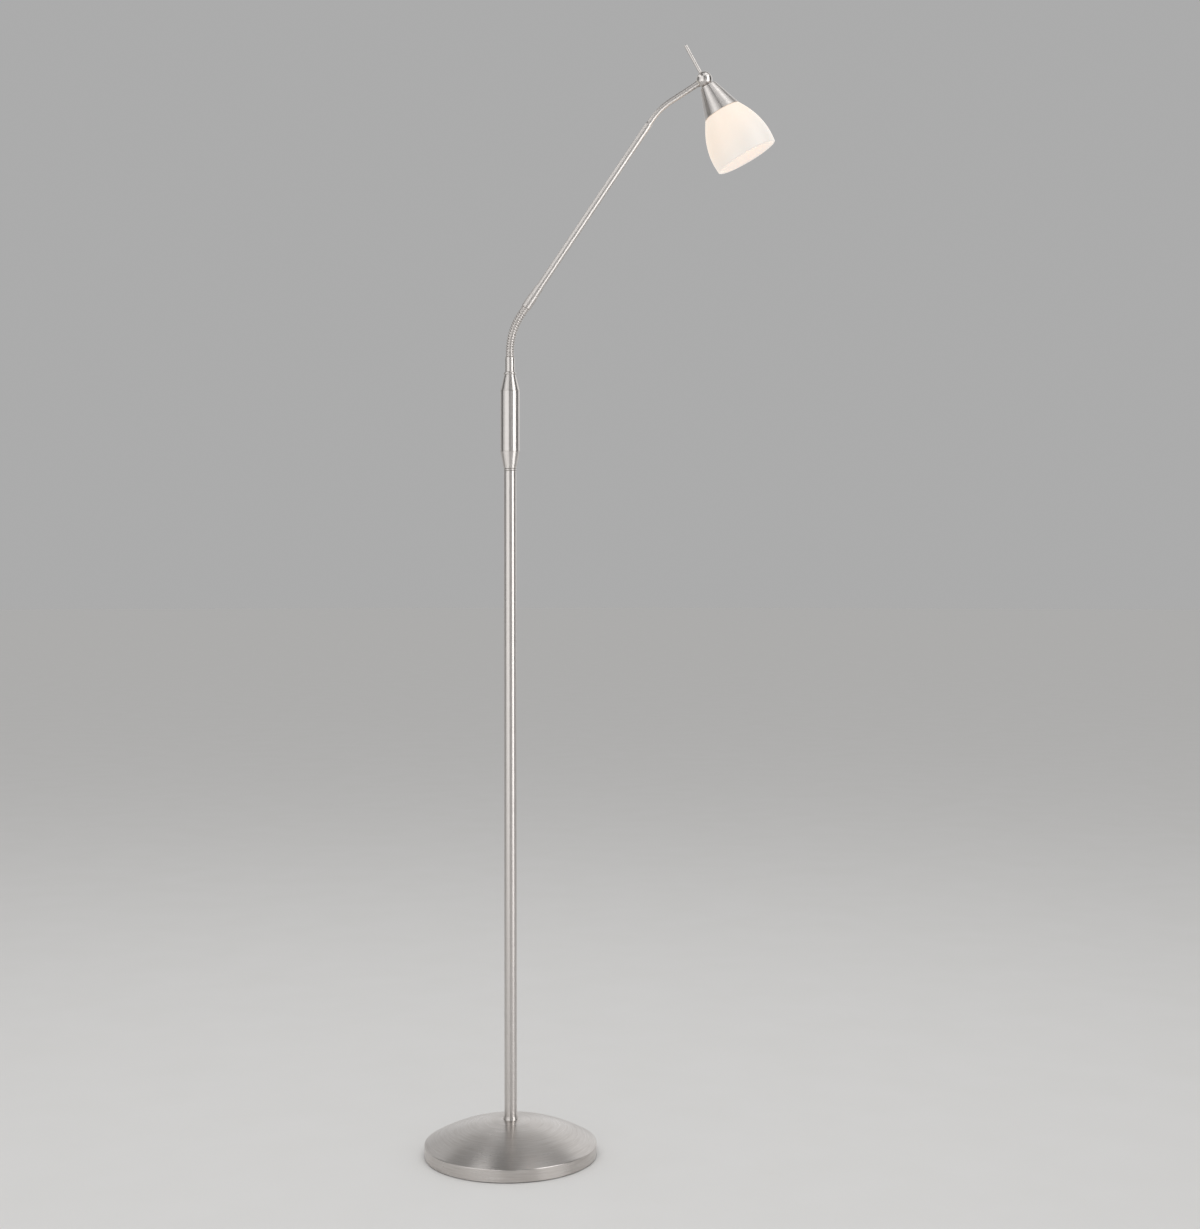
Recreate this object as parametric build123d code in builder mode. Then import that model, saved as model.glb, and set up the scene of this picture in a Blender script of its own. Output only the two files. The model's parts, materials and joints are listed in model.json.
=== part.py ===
from build123d import *
from math import cos, hypot, radians, sin, sqrt, tan
import os

os.makedirs("parts", exist_ok=True)

# Gooseneck reading floor lamp. Millimetres and degrees. The origin is the middle of the felt pad's
# lower face, +Z is up and +X is the way that the lamp leans out over the reader.

# ---- clearances ---------------------------------------------------------------------------------
fit_gap = 0.05  # all round, between a turned piece and the bore that it is fixed in
running_gap = 0.06  # all round, between the swivel spigot and its bore
ball_gap = 0.12  # between the ball and the socket of two neck links
sheet_gap = 0.5  # round the loose-fitting pieces inside the foot and the head

# ---- foot ---------------------------------------------------------------------------------------
foot_diameter = 220.0
foot_rim_height = 15.4
foot_crown_height = 30.0  # from the rim's upper edge to the seat of the pole
foot_edge_round = 0.9
foot_sheet = 1.5
pad_thickness = 2.0
pad_proud = 1.0  # how far the felt stands below the cover's rim
pad_margin = 5.0  # from the pad's edge to the cover's outside
plate_thickness = 0.8
plate_screw_count = 3
plate_screw_circle = 62.0  # radius
plate_screw_diameter = 4.0
plate_screw_head = 8.0
plate_screw_head_height = 0.7
plate_screw_length = 9.0
weight_rim_height = 12.4
weight_shoulder_radius = 66.0
weight_shoulder_height = 21.0
weight_boss_radius = 15.0
weight_boss_height = 5.0
well_radius = 37.0
well_depth = 19.0
cord_channel_width = 9.0
cord_channel_height = 10.2
stud_diameter = 10.0
stud_bore = 7.0
stud_washer_diameter = 24.0
stud_washer_thickness = 2.0
stud_nut_flats = 17.0
stud_nut_height = 5.0
stud_tail = 1.0  # thread left showing under the nut
collar_bottom_diameter = 19.0
collar_top_diameter = 17.0
collar_height = 4.6
bush_flange_diameter = 10.0
bush_flange_thickness = 1.4
bush_barrel_diameter = 7.6
bush_lip_diameter = 8.6
bush_lip_length = 1.6
bush_bore = 6.2
bush_height = 8.6  # centre of the cord inlet above the floor
clamp_length = 22.0
clamp_width = 8.0
clamp_height = 6.0
clamp_from_axis = 24.0
clamp_groove_radius = 3.0
clamp_screw_diameter = 3.0
clamp_screw_head = 5.5
clamp_screw_head_height = 1.8
clamp_screw_spacing = 15.0
clamp_screw_bite = 5.0
terminal_length = 17.0
terminal_width = 20.0
terminal_height = 16.0
terminal_from_axis = 12.5
terminal_hole = 3.4
terminal_poles = 3
terminal_pitch = 6.0

# ---- pole and grip ------------------------------------------------------------------------------
pole_diameter = 16.0
pole_wall = 1.2
pole_length = 828.2
pole_bush_length = 20.0
stud_bite = 18.0  # length of stud in a pole bush
lead_diameter = 5.5
lead_bend = 6.0
lead_run_height = 9.5
ring_diameter = 16.4
ring_height = 3.2
ring_round = 1.5
lower_cone_height = 21.0
upper_cone_height = 20.4
upper_cone_end_diameter = 14.6
sleeve_diameter = 24.8
sleeve_wall = 1.2
sleeve_length = 77.2
sleeve_edge = 0.3
grip_spigot_length = 6.0
dimmer_disc_thickness = 2.0
dimmer_wire_hole = 4.0
board_width = 16.0
board_thickness = 1.6
board_from_axis = 4.5
choke_diameter = 9.0
choke_length = 12.0
capacitor_length = 12.0
capacitor_width = 10.0
capacitor_depth = 5.0
chip_length = 14.0
chip_width = 10.0
chip_depth = 4.4
board_part_spacing = 17.0

# ---- gooseneck ----------------------------------------------------------------------------------
nipple_diameter = 8.0
nipple_bore = 5.6
nipple_cone_bite = 12.0
nipple_ferrule_bite = 7.0
lower_ferrule_diameter = 12.6
lower_ferrule_length = 19.0
ferrule_edge = 0.4
rib_pitch = 3.2
rib_radius = 5.6
rib_valley_radius = 4.75
rib_groove = 0.9
neck_bore_radius = 3.3
link_count = 15
end_rib_count = 3
lip_radius = 4.3  # the ball at the foot of each link
lip_depth = 1.0  # below the centre of the joint
socket_depth = 1.8
neck_tail_length = 8.0
neck_tail_radius = 4.6
neck_rest_bend = 34.0  # from the vertical, shared by every second joint
upper_ferrule_diameter = 12.4
upper_ferrule_slim_diameter = 11.2
upper_ferrule_length = 31.0
upper_ferrule_slim_length = 12.0

# ---- arm ----------------------------------------------------------------------------------------
arm_diameter = 9.6
arm_wall = 1.0
arm_shown_length = 246.5
arm_tail_length = 13.0
reducer_length = 3.5
reducer_tail = 8.0
reducer_spigot = 4.0
reducer_bore = 4.4
bent_tube_diameter = 7.8
bent_tube_wall = 0.8
bent_tube_rise = 4.5  # straight, from the reducer to the bend
bend_radius = 83.0
arm_end_lean = 57.0  # from the vertical
bent_tube_run = 39.9  # straight, from the bend to the swivel
swivel_collar_diameter = 9.0
swivel_collar_length = 1.6
swivel_plug_length = 8.0
swivel_spigot_diameter = 7.0
swivel_spigot_bore = 4.4
swivel_end_gap = 0.4
swivel_groove_width = 2.6
swivel_groove_depth = 0.8
swivel_groove_inset = 4.2  # from the ball's side face to the middle of the groove
swivel_stop_web = 14.0  # degrees of the groove left solid
friction_washer_thickness = 0.5

# ---- head ---------------------------------------------------------------------------------------
head_tilt = 28.9  # of the head's axis, from straight down towards +X
ball_diameter = 20.5
ball_seat_radius = 5.6  # flat under the cup
ball_side_radius = 4.7  # flat against the friction washer
ball_lead_bore = 5.0
ball_lead_depth = 10.0
swivel_bore_depth = 7.4
swivel_screw_diameter = 3.0
swivel_screw_length = 4.6
swivel_screw_point_diameter = 2.2
swivel_screw_point_length = 1.1
rod_diameter = 4.6
rod_length = 39.5
rod_end_round = 1.5
rod_stem_diameter = 3.6
rod_stem_length = 5.0
cup_height = 37.6
cup_top_radius = 10.7
cup_mouth_radius = 24.1
cup_shoulder_round = 2.6
cup_sheet = 1.0
cup_nipple_bite = 4.0
head_nut_flats = 13.0
head_nut_height = 3.0
head_nipple_tail = 0.8
carrier_hub_radius = 6.4
carrier_hub_length = 9.0
carrier_disc_thickness = 1.2
carrier_radius = 12.5
carrier_wall = 1.0
carrier_length = 29.0
holder_length = 20.0
bulb_radius = 6.5
bulb_length = 38.0
bulb_neck_radius = 4.4
bulb_neck_length = 6.0
bulb_shoulder = 3.0
bulb_seat_depth = 4.0
pin_diameter = 1.6
pin_spacing = 5.6
pin_length = 8.0
clamp_ring_radius = 16.5
clamp_ring_height = 3.0
shade_flange_depth = 31.6  # from the cup's top to the glass flange
shade_glass = 3.0
shade_neck_radius = 20.2
shade_rim_gap = 0.5  # between the cup's rim and the shoulder of the glass
shade_shoulder_radius = 24.5
shade_shoulder_drop = 0.7
shade_shoulder_flare = 31.0  # of the glass under the shoulder, from the head's axis
shade_waist_radius = 35.0
shade_waist_depth = 20.4  # from the shoulder down
shade_waist_flare = 22.0
shade_belly_radius = 41.1
shade_belly_depth = 52.0
shade_mouth_radius = 40.5
shade_depth = 63.6
shade_lip_round = 1.0  # height of the rounded lip

# ---- levels and places worked out from the sizes above --------------------------------------------
foot_radius = foot_diameter / 2
rim_top = pad_proud + foot_rim_height
seat_level = rim_top + foot_crown_height
seat_radius = collar_bottom_diameter / 2 + fit_gap
dome_centre = (seat_radius**2 + seat_level**2 - foot_radius**2 - rim_top**2) / (2 * foot_crown_height)
dome_radius = hypot(foot_radius, rim_top - dome_centre)
inside_radius = foot_radius - foot_sheet - sheet_gap
pad_radius = foot_radius - pad_margin
plate_top = pad_thickness + plate_thickness
well_top = plate_top + well_depth
nut_top = well_top - stud_washer_thickness
stud_bottom = nut_top - stud_nut_height - stud_tail
pole_radius = pole_diameter / 2
pole_top = seat_level + pole_length
lower_cone_bottom = pole_top + ring_height
sleeve_bottom = lower_cone_bottom + lower_cone_height
sleeve_top = sleeve_bottom + sleeve_length
upper_cone_top = sleeve_top + upper_cone_height
ferrule_bottom = upper_cone_top + ring_height
ribs_bottom = ferrule_bottom + lower_ferrule_length
sleeve_inside = sleeve_diameter / 2 - sleeve_wall
lower_disc_bottom = sleeve_bottom + grip_spigot_length
upper_disc_top = sleeve_top - grip_spigot_length
nipple_radius = nipple_diameter / 2
ball_radius = ball_diameter / 2
ball_seat = sqrt(ball_radius**2 - ball_seat_radius**2)
ball_side = sqrt(ball_radius**2 - ball_side_radius**2)
rod_seat = sqrt(ball_radius**2 - (rod_diameter / 2) ** 2)


def leaning_plane(x, z, lean):
    """Drawing plane in the lamp's own upright plane, whose Y leans from the vertical towards +X."""
    angle = radians(lean)
    return Plane(origin=(x, 0, z), x_dir=(cos(angle), 0, -sin(angle)), z_dir=(0, -1, 0))


def along(plane, distance, lean):
    """A drawing plane further along another one's Y, with a lean of its own."""
    place = plane.origin + plane.y_dir * distance
    return leaning_plane(place.X, place.Z, lean)


def long_axis(plane):
    """The axis that a piece drawn on the plane is turned about."""
    return Axis(plane.origin, plane.y_dir)


def across(plane, height):
    """Plane square to the drawing plane's Y, at a height along it."""
    return Plane(origin=plane.origin + plane.y_dir * height, x_dir=plane.x_dir, z_dir=plane.y_dir)


def dome_level(radius, inset):
    """Height of the foot's dome at a radius, on a surface set in from the outside."""
    return dome_centre + sqrt((dome_radius - inset) ** 2 - radius**2)


# The joints of the neck stand one rib apart. Every odd joint takes its share of the rest bend.
joint_count = link_count + 1
joint_bend = neck_rest_bend / ((joint_count + 1) // 2)
neck_planes = []
neck_plane = leaning_plane(0, ribs_bottom + end_rib_count * rib_pitch, joint_bend)
for number in range(1, joint_count + 1):
    neck_planes.append(neck_plane)
    print(f"neck joint {number} at {neck_plane.origin.X:.4f}, {neck_plane.origin.Z:.4f}")
    next_lean = joint_bend * (number // 2 + 1)
    neck_plane = along(neck_plane, rib_pitch, next_lean)

neck_root = leaning_plane(0, ribs_bottom, 0)
ferrule_plane = along(neck_planes[-1], end_rib_count * rib_pitch, neck_rest_bend)
reducer_plane = along(ferrule_plane, upper_ferrule_length + arm_shown_length, neck_rest_bend)
bend_turn = arm_end_lean - neck_rest_bend
bend_tangent = bend_radius * tan(radians(bend_turn / 2))
bend_corner = along(reducer_plane, reducer_length + bent_tube_rise + bend_tangent, arm_end_lean)
swivel_plane = along(bend_corner, bend_tangent + bent_tube_run, arm_end_lean)
ball_side_plane = along(
    swivel_plane, swivel_collar_length + friction_washer_thickness, arm_end_lean
)
ball_centre_plane = along(ball_side_plane, ball_side, arm_end_lean)
head_plane = along(ball_centre_plane, 0, 180 - head_tilt)
print(f"ball centre at {head_plane.origin.X:.4f}, {head_plane.origin.Z:.4f}")

# =================================================================================================
# Foot
# =================================================================================================

# The cover is spun from sheet: a straight rim, a crisp edge and a shallow dome, with a small flat
# at its crown where the pole stands.
with BuildPart() as foot_cover:
    for inset, mode in ((0, Mode.ADD), (foot_sheet, Mode.SUBTRACT)):
        rim_radius = foot_radius - inset
        with BuildSketch(Plane.XZ):
            with BuildLine():
                Polyline(
                    (seat_radius, dome_level(seat_radius, inset)),
                    (0, dome_level(seat_radius, inset)),
                    (0, pad_proud),
                    (rim_radius, pad_proud),
                    (rim_radius, dome_level(rim_radius, inset)),
                )
                RadiusArc(
                    (rim_radius, dome_level(rim_radius, inset)),
                    (seat_radius, dome_level(seat_radius, inset)),
                    -(dome_radius - inset),
                )
            make_face()
        revolve(axis=Axis.Z, mode=mode)
    rim_edge = foot_cover.edges().filter_by_position(Axis.Z, rim_top - sheet_gap, rim_top + sheet_gap)
    fillet(rim_edge, radius=foot_edge_round)
    with Locations((0, 0, seat_level)):
        Hole(stud_diameter / 2 + fit_gap, depth=2 * foot_sheet)
    with Locations(Plane((0, foot_radius, bush_height), z_dir=(0, 1, 0))):
        Hole(bush_barrel_diameter / 2 + fit_gap, depth=2 * foot_sheet)
foot_cover.part.label = "foot_cover"
export_step(foot_cover.part, "parts/foot_cover.step")

# The casting fills the foot. A boss carries the crown of the cover, and a well underneath leaves
# room for the nut and the wiring, with a channel to the cord's inlet.
with BuildPart() as cast_weight:
    with BuildSketch(Plane.XZ):
        with BuildLine():
            Polyline(
                (0, plate_top),
                (inside_radius, plate_top),
                (inside_radius, plate_top + weight_rim_height),
                (weight_shoulder_radius, plate_top + weight_shoulder_height),
                (weight_boss_radius, seat_level - foot_sheet - weight_boss_height),
                (weight_boss_radius, dome_level(weight_boss_radius, foot_sheet + sheet_gap)),
                (seat_radius, dome_level(seat_radius, foot_sheet)),
                (0, dome_level(seat_radius, foot_sheet)),
                close=True,
            )
        make_face()
    revolve(axis=Axis.Z)
    with BuildSketch(Plane.XY.offset(plate_top)):
        Circle(well_radius)
    extrude(amount=well_depth, mode=Mode.SUBTRACT)
    with BuildSketch(Plane.XY.offset(plate_top)):
        with Locations((0, foot_radius / 2)):
            Rectangle(cord_channel_width, foot_radius)
    extrude(amount=cord_channel_height, mode=Mode.SUBTRACT)
    with BuildSketch(Plane.XY.offset(well_top)):
        Circle(stud_diameter / 2 + fit_gap)
    extrude(amount=foot_diameter, mode=Mode.SUBTRACT)
    with BuildSketch(Plane.XY.offset(plate_top)):
        with PolarLocations(plate_screw_circle, plate_screw_count):
            Circle(plate_screw_diameter / 2 + fit_gap)
    extrude(amount=plate_screw_length, mode=Mode.SUBTRACT)
    with BuildSketch(Plane.XY.offset(well_top)):
        with Locations((0, clamp_from_axis)):
            with GridLocations(clamp_screw_spacing, 0, 2, 1):
                Circle(clamp_screw_diameter / 2 + fit_gap)
    extrude(amount=clamp_screw_bite, mode=Mode.SUBTRACT)
cast_weight.part.label = "cast_weight"
export_step(cast_weight.part, "parts/cast_weight.step")

with BuildPart() as bottom_plate:
    with BuildSketch(Plane.XY.offset(pad_thickness)):
        Circle(inside_radius)
        with PolarLocations(plate_screw_circle, plate_screw_count):
            Circle(plate_screw_diameter / 2 + fit_gap, mode=Mode.SUBTRACT)
    extrude(amount=plate_thickness)
bottom_plate.part.label = "bottom_plate"
export_step(bottom_plate.part, "parts/bottom_plate.step")

with BuildPart() as plate_screws:
    with BuildSketch(Plane.XY.offset(pad_thickness)):
        with PolarLocations(plate_screw_circle, plate_screw_count):
            Circle(plate_screw_head / 2)
    extrude(amount=-plate_screw_head_height)
    with BuildSketch(Plane.XY.offset(pad_thickness)):
        with PolarLocations(plate_screw_circle, plate_screw_count):
            Circle(plate_screw_diameter / 2)
    extrude(amount=plate_screw_length)
plate_screws.part.label = "plate_screws"
export_step(plate_screws.part, "parts/plate_screws.step")

# The felt covers the whole underside and has pockets over the heads of the screws.
with BuildPart() as felt_pad:
    with BuildSketch():
        Circle(pad_radius)
    extrude(amount=pad_thickness)
    with BuildSketch(Plane.XY.offset(pad_thickness)):
        with PolarLocations(plate_screw_circle, plate_screw_count):
            Circle(plate_screw_head / 2 + sheet_gap)
    extrude(amount=-(plate_screw_head_height + fit_gap), mode=Mode.SUBTRACT)
felt_pad.part.label = "felt_pad"
export_step(felt_pad.part, "parts/felt_pad.step")

with BuildPart() as foot_stud:
    with BuildSketch(Plane.XY.offset(stud_bottom)):
        Circle(stud_diameter / 2)
        Circle(stud_bore / 2, mode=Mode.SUBTRACT)
    extrude(amount=seat_level + stud_bite - stud_bottom)
foot_stud.part.label = "foot_stud"
export_step(foot_stud.part, "parts/foot_stud.step")

with BuildPart() as stud_washer:
    with BuildSketch(Plane.XY.offset(nut_top)):
        Circle(stud_washer_diameter / 2)
        Circle(stud_diameter / 2 + fit_gap, mode=Mode.SUBTRACT)
    extrude(amount=stud_washer_thickness)
stud_washer.part.label = "stud_washer"
export_step(stud_washer.part, "parts/stud_washer.step")

with BuildPart() as stud_nut:
    with BuildSketch(Plane.XY.offset(nut_top)):
        RegularPolygon(stud_nut_flats / 2, 6, major_radius=False)
        Circle(stud_diameter / 2 + fit_gap, mode=Mode.SUBTRACT)
    extrude(amount=-stud_nut_height)
stud_nut.part.label = "stud_nut"
export_step(stud_nut.part, "parts/stud_nut.step")

# Flared collar that covers the joint between the pole and the foot.
with BuildPart() as foot_collar:
    with BuildSketch(Plane.XZ):
        with BuildLine():
            Polyline(
                (pole_radius + fit_gap, seat_level),
                (collar_bottom_diameter / 2, seat_level),
                (collar_bottom_diameter / 2, seat_level + fit_gap),
                (collar_top_diameter / 2, seat_level + collar_height),
                (pole_radius + fit_gap, seat_level + collar_height),
                close=True,
            )
        make_face()
    revolve(axis=Axis.Z)
foot_collar.part.label = "foot_collar"
export_step(foot_collar.part, "parts/foot_collar.step")

# Snap-in bush at the back of the rim: the inlet of the mains cord.
inlet_plane = Plane((0, foot_radius, bush_height), z_dir=(0, 1, 0))
with BuildPart() as cord_bush:
    with BuildSketch(inlet_plane):
        Circle(bush_flange_diameter / 2)
    extrude(amount=bush_flange_thickness)
    fillet(cord_bush.edges().sort_by(Axis.Y)[-1], radius=bush_flange_thickness / 2)
    with BuildSketch(inlet_plane):
        Circle(bush_barrel_diameter / 2)
    extrude(amount=-(foot_sheet + sheet_gap / 2 + bush_lip_length))
    with BuildSketch(inlet_plane.offset(-(foot_sheet + sheet_gap / 2))):
        Circle(bush_lip_diameter / 2)
    extrude(amount=-bush_lip_length)
    with Locations(inlet_plane):
        Hole(bush_bore / 2)
cord_bush.part.label = "cord_bush"
export_step(cord_bush.part, "parts/cord_bush.step")

clamp_bottom = well_top - clamp_height
with BuildPart() as cord_clamp:
    with BuildSketch(Plane.XY.offset(clamp_bottom)):
        with Locations((0, clamp_from_axis)):
            RectangleRounded(clamp_length, clamp_width, clamp_screw_diameter)
            with GridLocations(clamp_screw_spacing, 0, 2, 1):
                Circle(clamp_screw_diameter / 2 + fit_gap, mode=Mode.SUBTRACT)
    extrude(amount=clamp_height)
    with BuildSketch(Plane.XZ.offset(-clamp_from_axis)):
        with Locations((0, well_top)):
            Circle(clamp_groove_radius)
    extrude(amount=clamp_width, both=True, mode=Mode.SUBTRACT)
cord_clamp.part.label = "cord_clamp"
export_step(cord_clamp.part, "parts/cord_clamp.step")

with BuildPart() as clamp_screws:
    with BuildSketch(Plane.XY.offset(clamp_bottom)):
        with Locations((0, clamp_from_axis)):
            with GridLocations(clamp_screw_spacing, 0, 2, 1):
                Circle(clamp_screw_head / 2)
    extrude(amount=-clamp_screw_head_height)
    with BuildSketch(Plane.XY.offset(clamp_bottom)):
        with Locations((0, clamp_from_axis)):
            with GridLocations(clamp_screw_spacing, 0, 2, 1):
                Circle(clamp_screw_diameter / 2)
    extrude(amount=clamp_height + clamp_screw_bite)
clamp_screws.part.label = "clamp_screws"
export_step(clamp_screws.part, "parts/clamp_screws.step")

terminal_centre = -(terminal_from_axis + terminal_length / 2)
with BuildPart() as terminal_block:
    with BuildSketch(Plane.XY.offset(well_top)):
        with Locations((terminal_centre, 0)):
            Rectangle(terminal_length, terminal_width)
    extrude(amount=-terminal_height)
    with BuildSketch(Plane.YZ.offset(terminal_centre - terminal_length / 2)):
        with Locations((0, lead_run_height)):
            with GridLocations(terminal_pitch, 0, terminal_poles, 1):
                Circle(terminal_hole / 2)
    extrude(amount=terminal_length, mode=Mode.SUBTRACT)
terminal_block.part.label = "terminal_block"
export_step(terminal_block.part, "parts/terminal_block.step")

# =================================================================================================
# Pole and grip
# =================================================================================================

with BuildPart() as pole_tube:
    with BuildSketch(Plane.XY.offset(seat_level)):
        Circle(pole_radius)
        Circle(pole_radius - pole_wall, mode=Mode.SUBTRACT)
    extrude(amount=pole_length)
pole_tube.part.label = "pole_tube"
export_step(pole_tube.part, "parts/pole_tube.step")

with BuildPart() as pole_bushes:
    for bush_bottom in (seat_level, pole_top - pole_bush_length):
        with BuildSketch(Plane.XY.offset(bush_bottom)):
            Circle(pole_radius - pole_wall - fit_gap)
            Circle(stud_diameter / 2 + fit_gap, mode=Mode.SUBTRACT)
        extrude(amount=pole_bush_length)
pole_bushes.part.label = "pole_bushes"
export_step(pole_bushes.part, "parts/pole_bushes.step")

with BuildPart() as grip_stud:
    with BuildSketch(Plane.XY.offset(pole_top - stud_bite)):
        Circle(stud_diameter / 2)
        Circle(stud_bore / 2, mode=Mode.SUBTRACT)
    extrude(amount=stud_bite + ring_height + lower_cone_height)
grip_stud.part.label = "grip_stud"
export_step(grip_stud.part, "parts/grip_stud.step")

# The inner lead climbs from the terminal block through the pole to the dimmer.
with BuildPart() as lead_in_pole:
    with BuildLine():
        FilletPolyline(
            (-terminal_from_axis, 0, lead_run_height),
            (0, 0, lead_run_height),
            (0, 0, lower_disc_bottom),
            radius=lead_bend,
        )
    with BuildSketch(Plane.YZ.offset(-terminal_from_axis)):
        with Locations((0, lead_run_height)):
            Circle(lead_diameter / 2)
    sweep()
lead_in_pole.part.label = "lead_in_pole"
export_step(lead_in_pole.part, "parts/lead_in_pole.step")

# Two rounded rings close the ends of the grip. The upper one is bored for the slimmer nipple.
with BuildPart() as grip_rings:
    for ring_bottom, bore in ((pole_top, stud_diameter), (upper_cone_top, nipple_diameter)):
        with BuildSketch(Plane.XZ):
            with BuildLine():
                inner_radius = bore / 2 + fit_gap
                flat_radius = ring_diameter / 2 - ring_round
                Line((inner_radius, ring_bottom), (flat_radius, ring_bottom))
                ThreePointArc(
                    (flat_radius, ring_bottom),
                    (ring_diameter / 2, ring_bottom + ring_height / 2),
                    (flat_radius, ring_bottom + ring_height),
                )
                Line((flat_radius, ring_bottom + ring_height), (inner_radius, ring_bottom + ring_height))
                Line((inner_radius, ring_bottom + ring_height), (inner_radius, ring_bottom))
            make_face()
        revolve(axis=Axis.Z)
grip_rings.part.label = "grip_rings"
export_step(grip_rings.part, "parts/grip_rings.step")

with BuildPart() as grip_lower_cone:
    with BuildSketch(Plane.XZ):
        with BuildLine():
            Polyline(
                (stud_diameter / 2 + fit_gap, lower_cone_bottom),
                (pole_radius, lower_cone_bottom),
                (sleeve_diameter / 2, sleeve_bottom),
                (sleeve_inside - fit_gap, sleeve_bottom),
                (sleeve_inside - fit_gap, lower_disc_bottom),
                (stud_diameter / 2 + fit_gap, lower_disc_bottom),
                close=True,
            )
        make_face()
    revolve(axis=Axis.Z)
grip_lower_cone.part.label = "grip_lower_cone"
export_step(grip_lower_cone.part, "parts/grip_lower_cone.step")

with BuildPart() as grip_sleeve:
    with BuildSketch(Plane.XY.offset(sleeve_bottom)):
        Circle(sleeve_diameter / 2)
        Circle(sleeve_inside, mode=Mode.SUBTRACT)
    extrude(amount=sleeve_length)
    sleeve_edges = grip_sleeve.edges().filter_by(GeomType.CIRCLE).group_by(SortBy.RADIUS)[-1]
    chamfer(sleeve_edges, length=sleeve_edge)
grip_sleeve.part.label = "grip_sleeve"
export_step(grip_sleeve.part, "parts/grip_sleeve.step")

with BuildPart() as grip_upper_cone:
    with BuildSketch(Plane.XZ):
        with BuildLine():
            Polyline(
                (nipple_radius + fit_gap, upper_disc_top),
                (sleeve_inside - fit_gap, upper_disc_top),
                (sleeve_inside - fit_gap, sleeve_top),
                (sleeve_diameter / 2, sleeve_top),
                (upper_cone_end_diameter / 2, upper_cone_top),
                (nipple_radius + fit_gap, upper_cone_top),
                close=True,
            )
        make_face()
    revolve(axis=Axis.Z)
grip_upper_cone.part.label = "grip_upper_cone"
export_step(grip_upper_cone.part, "parts/grip_upper_cone.step")

# A touch dimmer fills the sleeve: a board held on edge by two slotted discs.
with BuildPart() as dimmer_discs:
    for disc_bottom in (lower_disc_bottom, upper_disc_top - dimmer_disc_thickness):
        with BuildSketch(Plane.XY.offset(disc_bottom)):
            Circle(sleeve_inside - fit_gap)
            with Locations((0, board_from_axis)):
                Rectangle(board_width + 2 * fit_gap, board_thickness + 2 * fit_gap, mode=Mode.SUBTRACT)
            with Locations((0, -board_from_axis)):
                Circle(dimmer_wire_hole / 2, mode=Mode.SUBTRACT)
        extrude(amount=dimmer_disc_thickness)
dimmer_discs.part.label = "dimmer_discs"
export_step(dimmer_discs.part, "parts/dimmer_discs.step")

with BuildPart() as dimmer_board:
    with BuildSketch(Plane.XY.offset(lower_disc_bottom)):
        with Locations((0, board_from_axis)):
            Rectangle(board_width, board_thickness)
    extrude(amount=upper_disc_top - lower_disc_bottom)
dimmer_board.part.label = "dimmer_board"
export_step(dimmer_board.part, "parts/dimmer_board.step")

board_face = board_from_axis - board_thickness / 2
board_middle = (lower_disc_bottom + upper_disc_top) / 2
with BuildPart() as dimmer_parts:
    with BuildSketch(Plane.XY.offset(board_middle - board_part_spacing - choke_length / 2)):
        with Locations((0, board_face - choke_diameter / 2)):
            Circle(choke_diameter / 2)
    extrude(amount=choke_length)
    with BuildSketch(Plane.XZ.offset(-board_face)):
        with Locations((0, board_middle)):
            Rectangle(capacitor_width, capacitor_length)
    extrude(amount=capacitor_depth)
    with BuildSketch(Plane.XZ.offset(-board_face)):
        with Locations((0, board_middle + board_part_spacing)):
            Rectangle(chip_width, chip_length)
    extrude(amount=chip_depth)
dimmer_parts.part.label = "dimmer_parts"
export_step(dimmer_parts.part, "parts/dimmer_parts.step")

# =================================================================================================
# Gooseneck
# =================================================================================================

with BuildPart() as neck_nipple:
    with BuildSketch(Plane.XY.offset(upper_cone_top - nipple_cone_bite)):
        Circle(nipple_radius)
        Circle(nipple_bore / 2, mode=Mode.SUBTRACT)
    extrude(amount=nipple_cone_bite + ring_height + nipple_ferrule_bite)
neck_nipple.part.label = "neck_nipple"
export_step(neck_nipple.part, "parts/neck_nipple.step")

with BuildPart() as neck_lower_ferrule:
    with BuildSketch(Plane.XY.offset(ferrule_bottom)):
        Circle(lower_ferrule_diameter / 2)
        Circle(neck_bore_radius, mode=Mode.SUBTRACT)
    extrude(amount=lower_ferrule_length)
    ferrule_edges = neck_lower_ferrule.edges().filter_by(GeomType.CIRCLE).group_by(SortBy.RADIUS)[-1]
    chamfer(ferrule_edges, length=ferrule_edge)
    with BuildSketch(Plane.XY.offset(ferrule_bottom)):
        Circle(nipple_radius + fit_gap)
    extrude(amount=nipple_ferrule_bite, mode=Mode.SUBTRACT)
    with BuildSketch(Plane.XY.offset(ribs_bottom)):
        Circle(neck_tail_radius + fit_gap)
    extrude(amount=-neck_tail_length, mode=Mode.SUBTRACT)
neck_lower_ferrule.part.label = "neck_lower_ferrule"
export_step(neck_lower_ferrule.part, "parts/neck_lower_ferrule.step")


# A rib is rounded and stands in the middle of its pitch, half a groove from either end.
groove_side = rib_groove / 2
lip_corner = sqrt(lip_radius**2 - lip_depth**2)
lip_top = sqrt(lip_radius**2 - groove_side**2)
socket_radius = lip_radius + ball_gap
socket_corner = sqrt(socket_radius**2 - socket_depth**2)
socket_mouth = sqrt(socket_radius**2 - groove_side**2)


def rib_arc(rib):
    """Start, crest and end of a rib's outline, counted from the lower end of a run."""
    start = rib * rib_pitch
    return (
        (rib_valley_radius, start + groove_side),
        (rib_radius, start + rib_pitch / 2),
        (rib_valley_radius, start + rib_pitch - groove_side),
    )


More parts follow.
